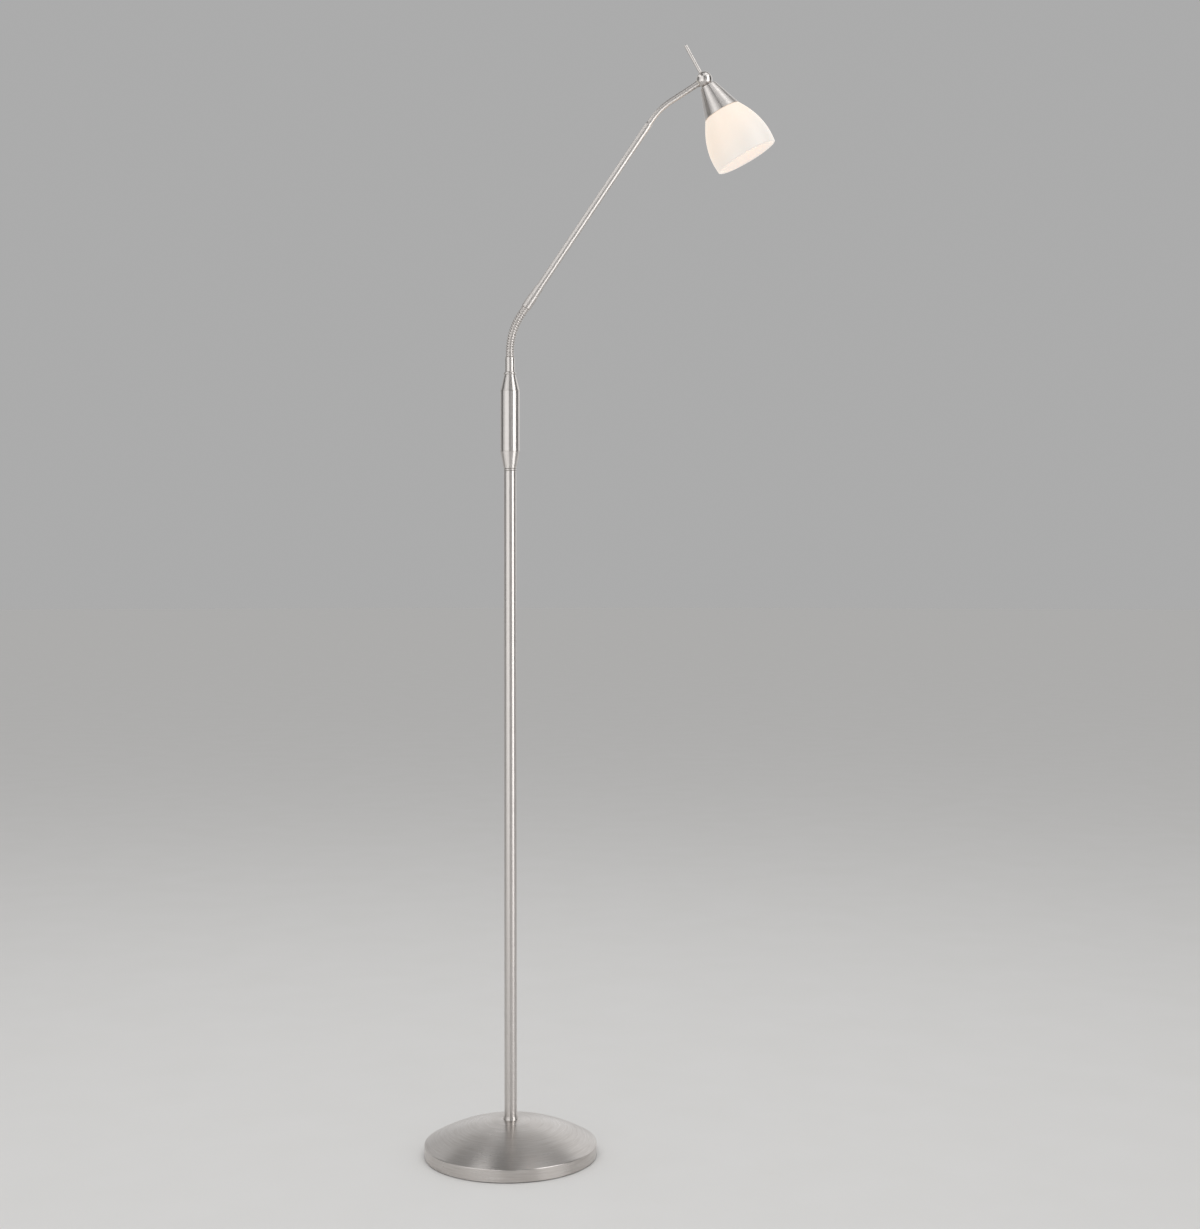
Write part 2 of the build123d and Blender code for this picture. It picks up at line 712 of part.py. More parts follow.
with BuildPart() as neck_lower_end:
    joint_level = end_rib_count * rib_pitch
    with BuildSketch(neck_root):
        with BuildLine():
            Polyline(
                (socket_corner, joint_level - socket_depth),
                (neck_bore_radius, joint_level - socket_depth),
                (neck_bore_radius, -neck_tail_length),
                (neck_tail_radius, -neck_tail_length),
                (neck_tail_radius, 0),
                (rib_valley_radius, 0),
                (rib_valley_radius, groove_side),
            )
            for rib in range(end_rib_count):
                ThreePointArc(*rib_arc(rib))
            for rib in range(1, end_rib_count):
                Line(rib_arc(rib - 1)[2], rib_arc(rib)[0])
            Line(rib_arc(end_rib_count - 1)[2], (socket_mouth, joint_level - groove_side))
            RadiusArc(
                (socket_mouth, joint_level - groove_side),
                (socket_corner, joint_level - socket_depth),
                socket_radius,
            )
        make_face()
    revolve(axis=long_axis(neck_root))
neck_lower_end.part.label = "neck_lower_end"
export_step(neck_lower_end.part, "parts/neck_lower_end.step")

# Each link is one rib with a ball below and a socket above, so that the ribs close up on the inner
# side of a bend and open on the outer side, and the bore stays covered.
for number in range(1, link_count + 1):
    with BuildPart() as neck_link:
        with BuildSketch(neck_planes[number - 1]):
            with BuildLine():
                RadiusArc((lip_corner, -lip_depth), (lip_top, groove_side), -lip_radius)
                Line((lip_top, groove_side), rib_arc(0)[0])
                ThreePointArc(*rib_arc(0))
                Line(rib_arc(0)[2], (socket_mouth, rib_pitch - groove_side))
                RadiusArc(
                    (socket_mouth, rib_pitch - groove_side),
                    (socket_corner, rib_pitch - socket_depth),
                    socket_radius,
                )
                Polyline(
                    (socket_corner, rib_pitch - socket_depth),
                    (neck_bore_radius, rib_pitch - socket_depth),
                    (neck_bore_radius, -lip_depth),
                    (lip_corner, -lip_depth),
                )
            make_face()
        revolve(axis=long_axis(neck_planes[number - 1]))
    neck_link.part.label = f"neck_link_{number:02d}"
    export_step(neck_link.part, f"parts/neck_link_{number:02d}.step")

with BuildPart() as neck_upper_end:
    ribs_top = end_rib_count * rib_pitch
    with BuildSketch(neck_planes[-1]):
        with BuildLine():
            RadiusArc((lip_corner, -lip_depth), (lip_top, groove_side), -lip_radius)
            Line((lip_top, groove_side), rib_arc(0)[0])
            for rib in range(end_rib_count):
                ThreePointArc(*rib_arc(rib))
            for rib in range(1, end_rib_count):
                Line(rib_arc(rib - 1)[2], rib_arc(rib)[0])
            Polyline(
                (rib_valley_radius, ribs_top - groove_side),
                (rib_valley_radius, ribs_top),
                (neck_tail_radius, ribs_top),
                (neck_tail_radius, ribs_top + neck_tail_length),
                (neck_bore_radius, ribs_top + neck_tail_length),
                (neck_bore_radius, -lip_depth),
                (lip_corner, -lip_depth),
            )
        make_face()
    revolve(axis=long_axis(neck_planes[-1]))
neck_upper_end.part.label = "neck_upper_end"
export_step(neck_upper_end.part, "parts/neck_upper_end.step")

# =================================================================================================
# Arm
# =================================================================================================

with BuildPart() as neck_upper_ferrule:
    with BuildSketch(across(ferrule_plane, 0)):
        Circle(upper_ferrule_diameter / 2)
    extrude(amount=upper_ferrule_length - upper_ferrule_slim_length)
    ferrule_edges = neck_upper_ferrule.edges().filter_by(GeomType.CIRCLE)
    chamfer(ferrule_edges, length=ferrule_edge)
    with BuildSketch(across(ferrule_plane, ferrule_edge)):
        Circle(upper_ferrule_slim_diameter / 2)
    extrude(amount=upper_ferrule_length - ferrule_edge)
    with BuildSketch(across(ferrule_plane, 0)):
        Circle(neck_bore_radius)
    extrude(amount=upper_ferrule_length, mode=Mode.SUBTRACT)
    with BuildSketch(across(ferrule_plane, 0)):
        Circle(neck_tail_radius + fit_gap)
    extrude(amount=neck_tail_length, mode=Mode.SUBTRACT)
    with BuildSketch(across(ferrule_plane, upper_ferrule_length)):
        Circle(arm_diameter / 2 + fit_gap)
    extrude(amount=-arm_tail_length, mode=Mode.SUBTRACT)
neck_upper_ferrule.part.label = "neck_upper_ferrule"
export_step(neck_upper_ferrule.part, "parts/neck_upper_ferrule.step")

with BuildPart() as arm_tube:
    with BuildSketch(across(ferrule_plane, upper_ferrule_length - arm_tail_length)):
        Circle(arm_diameter / 2)
        Circle(arm_diameter / 2 - arm_wall, mode=Mode.SUBTRACT)
    extrude(amount=arm_tail_length + arm_shown_length)
arm_tube.part.label = "arm_tube"
export_step(arm_tube.part, "parts/arm_tube.step")

# Turned plug between the arm and the slimmer bent tube, with a short cone left showing.
bent_tube_inside = bent_tube_diameter / 2 - bent_tube_wall
with BuildPart() as arm_reducer:
    with BuildSketch(reducer_plane):
        with BuildLine():
            Polyline(
                (reducer_bore / 2, -reducer_tail),
                (arm_diameter / 2 - arm_wall - fit_gap, -reducer_tail),
                (arm_diameter / 2 - arm_wall - fit_gap, 0),
                (arm_diameter / 2, 0),
                (bent_tube_diameter / 2, reducer_length),
                (bent_tube_inside - fit_gap, reducer_length),
                (bent_tube_inside - fit_gap, reducer_length + reducer_spigot),
                (reducer_bore / 2, reducer_length + reducer_spigot),
                close=True,
            )
        make_face()
    revolve(axis=long_axis(reducer_plane))
arm_reducer.part.label = "arm_reducer"
export_step(arm_reducer.part, "parts/arm_reducer.step")

bent_tube_start = across(reducer_plane, reducer_length)
with BuildPart() as arm_bent_tube:
    with BuildLine():
        FilletPolyline(
            bent_tube_start.origin,
            bend_corner.origin,
            swivel_plane.origin,
            radius=bend_radius,
        )
    with BuildSketch(bent_tube_start):
        Circle(bent_tube_diameter / 2)
        Circle(bent_tube_inside, mode=Mode.SUBTRACT)
    sweep()
arm_bent_tube.part.label = "arm_bent_tube"
export_step(arm_bent_tube.part, "parts/arm_bent_tube.step")

# Hollow pin that carries the head: plugged into the bent tube, it turns in the side of the ball.
# Its groove takes the point of the swivel screw, and a web left in the groove stops the turn.
spigot_length = friction_washer_thickness + swivel_bore_depth - swivel_end_gap
groove_middle = friction_washer_thickness + swivel_groove_inset
web_edge = radians(swivel_stop_web / 2)
swivel_direction = swivel_plane.y_dir
groove_plane = Plane(
    origin=across(swivel_plane, swivel_collar_length + groove_middle).origin,
    x_dir=(
        swivel_direction.Z * sin(web_edge),
        -cos(web_edge),
        -swivel_direction.X * sin(web_edge),
    ),
    z_dir=swivel_direction,
)
with BuildPart() as swivel_pin:
    with BuildSketch(across(swivel_plane, -swivel_plug_length)):
        Circle(bent_tube_inside - fit_gap)
    extrude(amount=swivel_plug_length)
    with BuildSketch(across(swivel_plane, 0)):
        Circle(swivel_collar_diameter / 2)
    extrude(amount=swivel_collar_length)
    with BuildSketch(across(swivel_plane, swivel_collar_length)):
        Circle(swivel_spigot_diameter / 2)
    extrude(amount=spigot_length)
    with BuildSketch(groove_plane.offset(-swivel_groove_width / 2)):
        with BuildLine():
            web_start = CenterArc(
                (0, 0), swivel_spigot_diameter, 0, 360 - swivel_stop_web
            )
            Line(web_start @ 1, (0, 0))
            Line((0, 0), web_start @ 0)
        make_face()
        Circle(swivel_spigot_diameter / 2 - swivel_groove_depth, mode=Mode.SUBTRACT)
    extrude(amount=swivel_groove_width, mode=Mode.SUBTRACT)
    with BuildSketch(across(swivel_plane, -swivel_plug_length)):
        Circle(swivel_spigot_bore / 2)
    extrude(
        amount=swivel_plug_length + swivel_collar_length + spigot_length, mode=Mode.SUBTRACT
    )
swivel_pin.part.label = "swivel_pin"
export_step(swivel_pin.part, "parts/swivel_pin.step")

with BuildPart() as friction_washer:
    with BuildSketch(across(swivel_plane, swivel_collar_length)):
        Circle(swivel_collar_diameter / 2)
        Circle(swivel_spigot_diameter / 2 + running_gap, mode=Mode.SUBTRACT)
    extrude(amount=friction_washer_thickness)
friction_washer.part.label = "friction_washer"
export_step(friction_washer.part, "parts/friction_washer.step")

# =================================================================================================
# Head: the drawing plane's Y runs down the head's axis from the middle of the ball
# =================================================================================================

screw_place = ball_side_plane.origin + swivel_direction * swivel_groove_inset
screw_point = swivel_spigot_diameter / 2 - swivel_groove_depth + running_gap
screw_shoulder = screw_point + swivel_screw_point_length
screw_plane = Plane(origin=screw_place, x_dir=swivel_direction, z_dir=(0, 1, 0))

# The ball is turned in one piece, bored from three sides: for the cup's nipple, for the handle and
# for the swivel pin.
with BuildPart() as swivel_ball:
    with Locations(head_plane.origin):
        Sphere(ball_radius)
    split(bisect_by=across(head_plane, ball_seat), keep=Keep.BOTTOM)
    split(bisect_by=across(head_plane, -rod_seat), keep=Keep.TOP)
    split(bisect_by=across(ball_centre_plane, -ball_side), keep=Keep.TOP)
    with BuildSketch(across(head_plane, ball_seat)):
        Circle(nipple_radius + fit_gap)
    extrude(amount=-cup_nipple_bite, mode=Mode.SUBTRACT)
    with BuildSketch(across(head_plane, ball_seat)):
        Circle(ball_lead_bore / 2)
    extrude(amount=-ball_lead_depth, mode=Mode.SUBTRACT)
    with BuildSketch(across(head_plane, -rod_seat)):
        Circle(rod_stem_diameter / 2 + fit_gap)
    extrude(amount=rod_stem_length, mode=Mode.SUBTRACT)
    with BuildSketch(across(ball_side_plane, 0)):
        Circle(swivel_spigot_diameter / 2 + running_gap)
    extrude(amount=swivel_bore_depth, mode=Mode.SUBTRACT)
    with BuildSketch(screw_plane):
        Circle(swivel_screw_diameter / 2 + fit_gap)
    extrude(amount=ball_radius, mode=Mode.SUBTRACT)
swivel_ball.part.label = "swivel_ball"
export_step(swivel_ball.part, "parts/swivel_ball.step")

with BuildPart() as swivel_screw:
    with BuildSketch(screw_plane.offset(screw_point)):
        Circle(swivel_screw_point_diameter / 2)
    extrude(amount=swivel_screw_point_length)
    with BuildSketch(screw_plane.offset(screw_shoulder)):
        Circle(swivel_screw_diameter / 2)
    extrude(amount=swivel_screw_length)
    with BuildSketch(screw_plane.offset(screw_shoulder + swivel_screw_length)):
        RegularPolygon(swivel_screw_diameter / 4, 6, major_radius=False)
    extrude(amount=-swivel_screw_diameter / 2, mode=Mode.SUBTRACT)
swivel_screw.part.label = "swivel_screw"
export_step(swivel_screw.part, "parts/swivel_screw.step")

with BuildPart() as handle_rod:
    with BuildSketch(across(head_plane, -rod_seat)):
        Circle(rod_diameter / 2)
    extrude(amount=-rod_length)
    rod_tip = handle_rod.edges().filter_by(GeomType.CIRCLE).sort_by(Axis.Z)[-1]
    fillet(rod_tip, radius=rod_end_round)
    with BuildSketch(across(head_plane, -rod_seat)):
        Circle(rod_stem_diameter / 2)
    extrude(amount=rod_stem_length)
handle_rod.part.label = "handle_rod"
export_step(handle_rod.part, "parts/handle_rod.step")

# The cup is a spun cone, closed at the top, where the nipple clamps it to the ball.
cup_top = ball_seat
cup_mouth = cup_top + cup_height
with BuildPart() as head_cup:
    with BuildSketch(head_plane):
        with BuildLine():
            FilletPolyline(
                (nipple_radius + fit_gap, cup_top),
                (cup_top_radius, cup_top),
                (cup_mouth_radius, cup_mouth),
                radius=cup_shoulder_round,
            )
            offset(amount=cup_sheet, side=Side.LEFT)
        make_face()
    revolve(axis=long_axis(head_plane))
head_cup.part.label = "head_cup"
export_step(head_cup.part, "parts/head_cup.step")

hub_top = cup_top + cup_sheet
disc_top = hub_top + carrier_hub_length
disc_bottom = disc_top + carrier_disc_thickness
carrier_mouth = disc_top + carrier_length
head_nut_bottom = disc_bottom + head_nut_height
with BuildPart() as head_nipple:
    with BuildSketch(across(head_plane, ball_seat - cup_nipple_bite)):
        Circle(nipple_radius)
        Circle(nipple_bore / 2, mode=Mode.SUBTRACT)
    extrude(amount=cup_nipple_bite + head_nut_bottom + head_nipple_tail - ball_seat)
head_nipple.part.label = "head_nipple"
export_step(head_nipple.part, "parts/head_nipple.step")

with BuildPart() as head_nut:
    with BuildSketch(across(head_plane, disc_bottom)):
        RegularPolygon(head_nut_flats / 2, 6, major_radius=False)
        Circle(nipple_radius + fit_gap, mode=Mode.SUBTRACT)
    extrude(amount=head_nut_height)
head_nut.part.label = "head_nut"
export_step(head_nut.part, "parts/head_nut.step")

# Threaded sleeve that the nut holds in the cup: it carries the lamp holder and the glass.
with BuildPart() as lamp_carrier:
    with BuildSketch(head_plane):
        with BuildLine():
            Polyline(
                (nipple_radius + fit_gap, hub_top),
                (carrier_hub_radius, hub_top),
                (carrier_hub_radius, disc_top),
                (carrier_radius, disc_top),
                (carrier_radius, carrier_mouth),
                (carrier_radius - carrier_wall, carrier_mouth),
                (carrier_radius - carrier_wall, disc_bottom),
                (nipple_radius + fit_gap, disc_bottom),
                close=True,
            )
        make_face()
    revolve(axis=long_axis(head_plane))
lamp_carrier.part.label = "lamp_carrier"
export_step(lamp_carrier.part, "parts/lamp_carrier.step")

holder_top = carrier_mouth - holder_length
bulb_top = carrier_mouth - bulb_seat_depth
with BuildPart() as lamp_holder:
    with BuildSketch(across(head_plane, holder_top)):
        Circle(carrier_radius - carrier_wall - fit_gap)
    extrude(amount=holder_length)
    with BuildSketch(across(head_plane, carrier_mouth)):
        Circle(bulb_neck_radius + fit_gap)
    extrude(amount=-bulb_seat_depth, mode=Mode.SUBTRACT)
    with BuildSketch(across(head_plane, bulb_top)):
        with GridLocations(pin_spacing, 0, 2, 1):
            Circle(pin_diameter / 2 + fit_gap)
    extrude(amount=-holder_length, mode=Mode.SUBTRACT)
lamp_holder.part.label = "lamp_holder"
export_step(lamp_holder.part, "parts/lamp_holder.step")

# Capsule bulb: a pinched neck, a round-ended body and two pins.
bulb_shoulder_level = bulb_top + bulb_neck_length
bulb_tip = bulb_shoulder_level + bulb_length
with BuildPart() as capsule_bulb:
    with BuildSketch(head_plane):
        with BuildLine():
            Polyline(
                (0, bulb_tip),
                (0, bulb_top),
                (bulb_neck_radius, bulb_top),
                (bulb_neck_radius, bulb_shoulder_level),
                (bulb_radius, bulb_shoulder_level + bulb_shoulder),
                (bulb_radius, bulb_tip - bulb_radius),
            )
            RadiusArc((bulb_radius, bulb_tip - bulb_radius), (0, bulb_tip), -bulb_radius)
        make_face()
    revolve(axis=long_axis(head_plane))
    with BuildSketch(across(head_plane, bulb_top)):
        with GridLocations(pin_spacing, 0, 2, 1):
            Circle(pin_diameter / 2)
    extrude(amount=-pin_length)
capsule_bulb.part.label = "capsule_bulb"
export_step(capsule_bulb.part, "parts/capsule_bulb.step")

flange_top = cup_top + shade_flange_depth
flange_bottom = flange_top + shade_glass
with BuildPart() as clamp_rings:
    for ring_top in (flange_top - clamp_ring_height, flange_bottom):
        with BuildSketch(across(head_plane, ring_top)):
            Circle(clamp_ring_radius)
            Circle(carrier_radius + fit_gap, mode=Mode.SUBTRACT)
        extrude(amount=clamp_ring_height)
clamp_rings.part.label = "clamp_rings"
export_step(clamp_rings.part, "parts/clamp_rings.step")

# The glass hangs by a flange inside the cup, steps out just under the cup's rim and swells to a
# bell that draws in a little at its mouth.
shoulder_level = cup_mouth + shade_rim_gap
shade_top = shoulder_level + shade_shoulder_drop
waist_level = shade_top + shade_waist_depth
belly_level = shade_top + shade_belly_depth
mouth_level = shade_top + shade_depth
shoulder_lean = radians(shade_shoulder_flare)
waist_lean = radians(shade_waist_flare)
start_tangent = (tan(shoulder_lean), 1)
end_tangent = (shade_mouth_radius - shade_belly_radius, shade_depth - shade_belly_depth)
inner_shoulder = shade_top + shade_glass * sin(shoulder_lean)
with BuildPart() as glass_shade:
    with BuildSketch(head_plane):
        with BuildLine():
            Spline(
                (shade_shoulder_radius, shade_top),
                (shade_waist_radius, waist_level),
                (shade_belly_radius, belly_level),
                (shade_mouth_radius, mouth_level),
                tangents=(start_tangent, end_tangent),
            )
            ThreePointArc(
                (shade_mouth_radius, mouth_level),
                (shade_mouth_radius - shade_glass / 2, mouth_level + shade_lip_round),
                (shade_mouth_radius - shade_glass, mouth_level),
            )
            Spline(
                (shade_shoulder_radius - shade_glass * cos(shoulder_lean), inner_shoulder),
                (
                    shade_waist_radius - shade_glass * cos(waist_lean),
                    waist_level + shade_glass * sin(waist_lean),
                ),
                (shade_belly_radius - shade_glass, belly_level),
                (shade_mouth_radius - shade_glass, mouth_level),
                tangents=(start_tangent, end_tangent),
            )
            Polyline(
                (shade_shoulder_radius - shade_glass * cos(shoulder_lean), inner_shoulder),
                (shade_neck_radius - shade_glass, inner_shoulder),
                (shade_neck_radius - shade_glass, flange_bottom),
                (carrier_radius + sheet_gap, flange_bottom),
                (carrier_radius + sheet_gap, flange_top),
                (shade_neck_radius, flange_top),
                (shade_neck_radius, shoulder_level),
                (shade_shoulder_radius, shade_top),
            )
        make_face()
    revolve(axis=long_axis(head_plane))
glass_shade.part.label = "glass_shade"
export_step(glass_shade.part, "parts/glass_shade.step")
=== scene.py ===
"""Looks of a gooseneck reading floor lamp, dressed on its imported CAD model.

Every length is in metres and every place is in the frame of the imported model: the foot stands on
the floor at z = 0, the neck leans towards +X, and the photograph is taken looking along +Y.
"""

import json
import logging
import math
from dataclasses import dataclass, field
from enum import Enum

import bmesh
import bpy
from mathutils import Matrix, Vector

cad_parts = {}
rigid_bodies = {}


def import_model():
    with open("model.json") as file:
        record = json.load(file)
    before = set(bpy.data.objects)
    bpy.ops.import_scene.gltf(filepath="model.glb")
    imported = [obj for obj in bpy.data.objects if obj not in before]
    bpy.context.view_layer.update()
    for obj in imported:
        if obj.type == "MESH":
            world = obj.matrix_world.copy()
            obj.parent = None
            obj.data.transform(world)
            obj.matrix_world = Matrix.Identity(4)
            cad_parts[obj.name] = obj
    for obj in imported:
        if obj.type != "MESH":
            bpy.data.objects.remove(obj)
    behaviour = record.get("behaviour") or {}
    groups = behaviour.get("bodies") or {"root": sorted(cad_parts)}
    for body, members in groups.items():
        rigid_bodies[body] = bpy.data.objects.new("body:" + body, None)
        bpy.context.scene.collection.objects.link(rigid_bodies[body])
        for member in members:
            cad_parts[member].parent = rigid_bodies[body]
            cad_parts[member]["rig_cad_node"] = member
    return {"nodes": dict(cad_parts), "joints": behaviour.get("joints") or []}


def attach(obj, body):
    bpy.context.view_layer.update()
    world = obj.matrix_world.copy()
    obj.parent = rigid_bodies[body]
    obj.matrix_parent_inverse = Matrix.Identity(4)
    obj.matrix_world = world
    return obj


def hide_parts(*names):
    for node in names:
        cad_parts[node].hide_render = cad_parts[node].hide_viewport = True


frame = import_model()
for stray in [o for o in bpy.data.objects if "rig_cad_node" not in o and o.type != "EMPTY"]:
    bpy.data.objects.remove(stray)
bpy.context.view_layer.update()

log = logging.getLogger("lamp")
Triple = tuple[float, float, float]
MM = 0.001
ON_AXIS = 1e-9


# ---- small tools ------------------------------------------------------------------------------------


def linear(code: str) -> tuple[float, float, float, float]:
    """Turns an sRGB hex colour into the linear values that Blender's sockets take.

    Args:
        code: The colour as "#RRGGBB".

    Returns:
        Linear red, green, blue and an alpha of one.
    """
    parts = [int(code[i : i + 2], 16) / 255 for i in (1, 3, 5)]
    low, slope, offset, power = 0.04045, 12.92, 0.055, 2.4
    return (
        *(p / slope if p <= low else ((p + offset) / (1 + offset)) ** power for p in parts),
        1.0,
    )


def leaning(lean: float) -> Vector:
    """Gives the direction that leans from the vertical towards +X by an angle in degrees."""
    return Vector((math.sin(math.radians(lean)), 0.0, math.cos(math.radians(lean))))


def pick(sockets: bpy.types.bpy_prop_collection, key: int | str) -> bpy.types.NodeSocket:
    """Finds a socket by its place, its identifier or its name.

    Args:
        sockets: The inputs or outputs of a node.
        key: Place, identifier or name of the socket.

    Returns:
        The socket.
    """
    if isinstance(key, str):
        for one in sockets:
            if one.identifier == key:
                return one
    return sockets[key]


def add(
    tree: bpy.types.NodeTree, kind: str, settings: dict | None = None, links: dict | None = None
) -> bpy.types.Node:
    """Adds one node with its settings and the links that feed it.

    Args:
        tree: The tree that gets the node.
        kind: Blender's type name of the node.
        settings: Values of options and of inputs, by name, identifier or place.
        links: Output sockets, by the input that each one feeds.

    Returns:
        The new node.
    """
    node = tree.nodes.new(kind)
    inputs = {}
    for key, value in (settings or {}).items():
        if isinstance(key, str) and hasattr(node, key):
            setattr(node, key, value)
        else:
            inputs[key] = value
    for key, value in inputs.items():
        pick(node.inputs, key).default_value = value
    for key, source in (links or {}).items():
        tree.links.new(source, pick(node.inputs, key))
    return node


def new_piece(mesh: bpy.types.Mesh, finish: bpy.types.Material | None = None) -> bpy.types.Object:
    """Puts a mesh in the scene as an object at the origin.

    Args:
        mesh: The finished mesh, whose name the piece takes.
        finish: The material that the piece wears, if it has none yet.

    Returns:
        The new object.
    """
    piece = bpy.data.objects.new(mesh.name, mesh)
    bpy.context.scene.collection.objects.link(piece)
    if finish:
        mesh.materials.append(finish)
    return piece


def turned_mesh(
    name: str,
    outline: list[tuple[float, float]],
    around: int,
    place: Matrix | None = None,
    closed: bool = True,
) -> bpy.types.Mesh:
    """Turns an outline about the Z axis, as on a lathe.

    Args:
        name: Name of the mesh.
        outline: Radius and height of each point, in metres. A radius of zero is a pole.
        around: Number of faces around.
        place: Where the finished mesh goes.
        closed: Whether the last point joins the first one.

    Returns:
        A closed mesh with its faces outwards.
    """
    shape = bmesh.new()
    rings = []
    for radius, height in outline:
        if radius < ON_AXIS:
            rings.append([shape.verts.new((0, 0, height))] * around)
            continue
        turns = [2 * math.pi * k / around for k in range(around)]
        rings.append(
            [shape.verts.new((radius * math.cos(a), radius * math.sin(a), height)) for a in turns]
        )
    pairs = list(zip(rings, rings[1:] + rings[:1])) if closed else list(zip(rings, rings[1:]))
    for low, high in pairs:
        for k in range(around):
            n = (k + 1) % around
            corners = list(dict.fromkeys((low[k], low[n], high[n], high[k])))
            if len(corners) > 2:
                shape.faces.new(corners)
    bmesh.ops.recalc_face_normals(shape, faces=shape.faces)
    soften(shape)
    if place is not None:
        shape.transform(place)
    mesh = bpy.data.meshes.new(name)
    shape.to_mesh(mesh)
    shape.free()
    return mesh


def soften(shape: bmesh.types.BMesh, crease: float = 34.0) -> None:
    """Shades a shape smooth, apart from edges that turn by more than an angle.

    Args:
        shape: The shape to shade.
        crease: The angle in degrees.
    """
    for face in shape.faces:
        face.smooth = True
    for edge in shape.edges:
        edge.smooth = len(edge.link_faces) < 2 or edge.calc_face_angle(0) < math.radians(crease)


def arc_points(
    centre: tuple[float, float], radius: float, first: float, last: float, count: int
) -> list[tuple[float, float]]:
    """Points along an arc of an outline.

    Args:
        centre: Radius and height of the arc's centre.
        radius: The arc's own radius.
        first: Angle of the first point, in degrees from the outward direction.
        last: Angle of the last point.
        count: Number of points, both ends among them.

    Returns:
        Radius and height of each point.
    """
    turns = [math.radians(first + (last - first) * k / (count - 1)) for k in range(count)]
    return [(centre[0] + radius * math.cos(t), centre[1] + radius * math.sin(t)) for t in turns]


def joined(name: str, pieces: list[bpy.types.Mesh]) -> bpy.types.Mesh:
    """Joins meshes into one, with the first one's materials.

    Args:
        name: Name of the joined mesh.
        pieces: The meshes to join.

    Returns:
        The joined mesh.
    """
    shape = bmesh.new()
    for mesh in pieces:
        shape.from_mesh(mesh)
    whole = bpy.data.meshes.new(name)
    shape.to_mesh(whole)
    shape.free()
    for finish in pieces[0].materials:
        whole.materials.append(finish)
    return whole


def new_tree(
    name: str, inputs: dict[str, str]
) -> tuple[bpy.types.GeometryNodeTree, bpy.types.bpy_prop_collection]:
    """Starts a tree of Geometry Nodes.

    Args:
        name: Name of the tree.
        inputs: Kind of each input, by the input's name.

    Returns:
        The tree, and the sockets that give its inputs.
    """
    tree = bpy.data.node_groups.new(name, "GeometryNodeTree")
    for label, kind in inputs.items():
        tree.interface.new_socket(label, in_out="INPUT", socket_type=f"NodeSocket{kind}")
    tree.interface.new_socket("Geometry", in_out="OUTPUT", socket_type="NodeSocketGeometry")
    return tree, add(tree, "NodeGroupInput").outputs


def end_tree(
    tree: bpy.types.GeometryNodeTree, shape: bpy.types.NodeSocket, finish: bpy.types.NodeSocket
) -> None:
    """Ends a tree of Geometry Nodes: its instances become real, and all of it wears one finish.

    Args:
        tree: The tree.
        shape: What the tree has made.
        finish: The input that gives the material.
    """
    real = add(tree, "GeometryNodeRealizeInstances", {}, {0: shape})
    worn = add(
        tree, "GeometryNodeSetMaterial", {}, {"Geometry": real.outputs[0], "Material": finish}
    )
    add(tree, "NodeGroupOutput", {}, {0: worn.outputs[0]})


def grown(
    name: str, start: bpy.types.Mesh, tree: bpy.types.GeometryNodeTree, values: dict[str, object]
) -> bpy.types.Mesh:
    """Runs a tree of Geometry Nodes on a mesh and keeps the result as a plain mesh.

    Args:
        name: Name of the finished mesh.
        start: The mesh that the tree starts from, which may be empty.
        tree: The tree.
        values: Values of the tree's inputs, by name.

    Returns:
        The finished mesh, on its own: the draft goes, and its modifier with it.
    """
    draft = new_piece(start)
    modifier = draft.modifiers.new(name, "NODES")
    modifier.node_group = tree
    for item in tree.interface.items_tree:
        if item.in_out == "INPUT" and item.name in values:
            modifier[item.identifier] = values[item.name]
    bpy.context.view_layer.update()
    graph = bpy.context.evaluated_depsgraph_get()
    mesh = bpy.data.meshes.new_from_object(draft.evaluated_get(graph))
    bpy.data.objects.remove(draft)
    mesh.name = name
    return mesh


# ---- finishes ---------------------------------------------------------------------------------------


class Slot(Enum):
    """Material slots of the record, listed beside the bulb's new pieces; the pieces take their finish
    from the palette, and nothing reads these slots.
    """

    NICKEL = "brushed_nickel"
    BULB = "bulb_glass"
    ZINC = "zinc_steel"


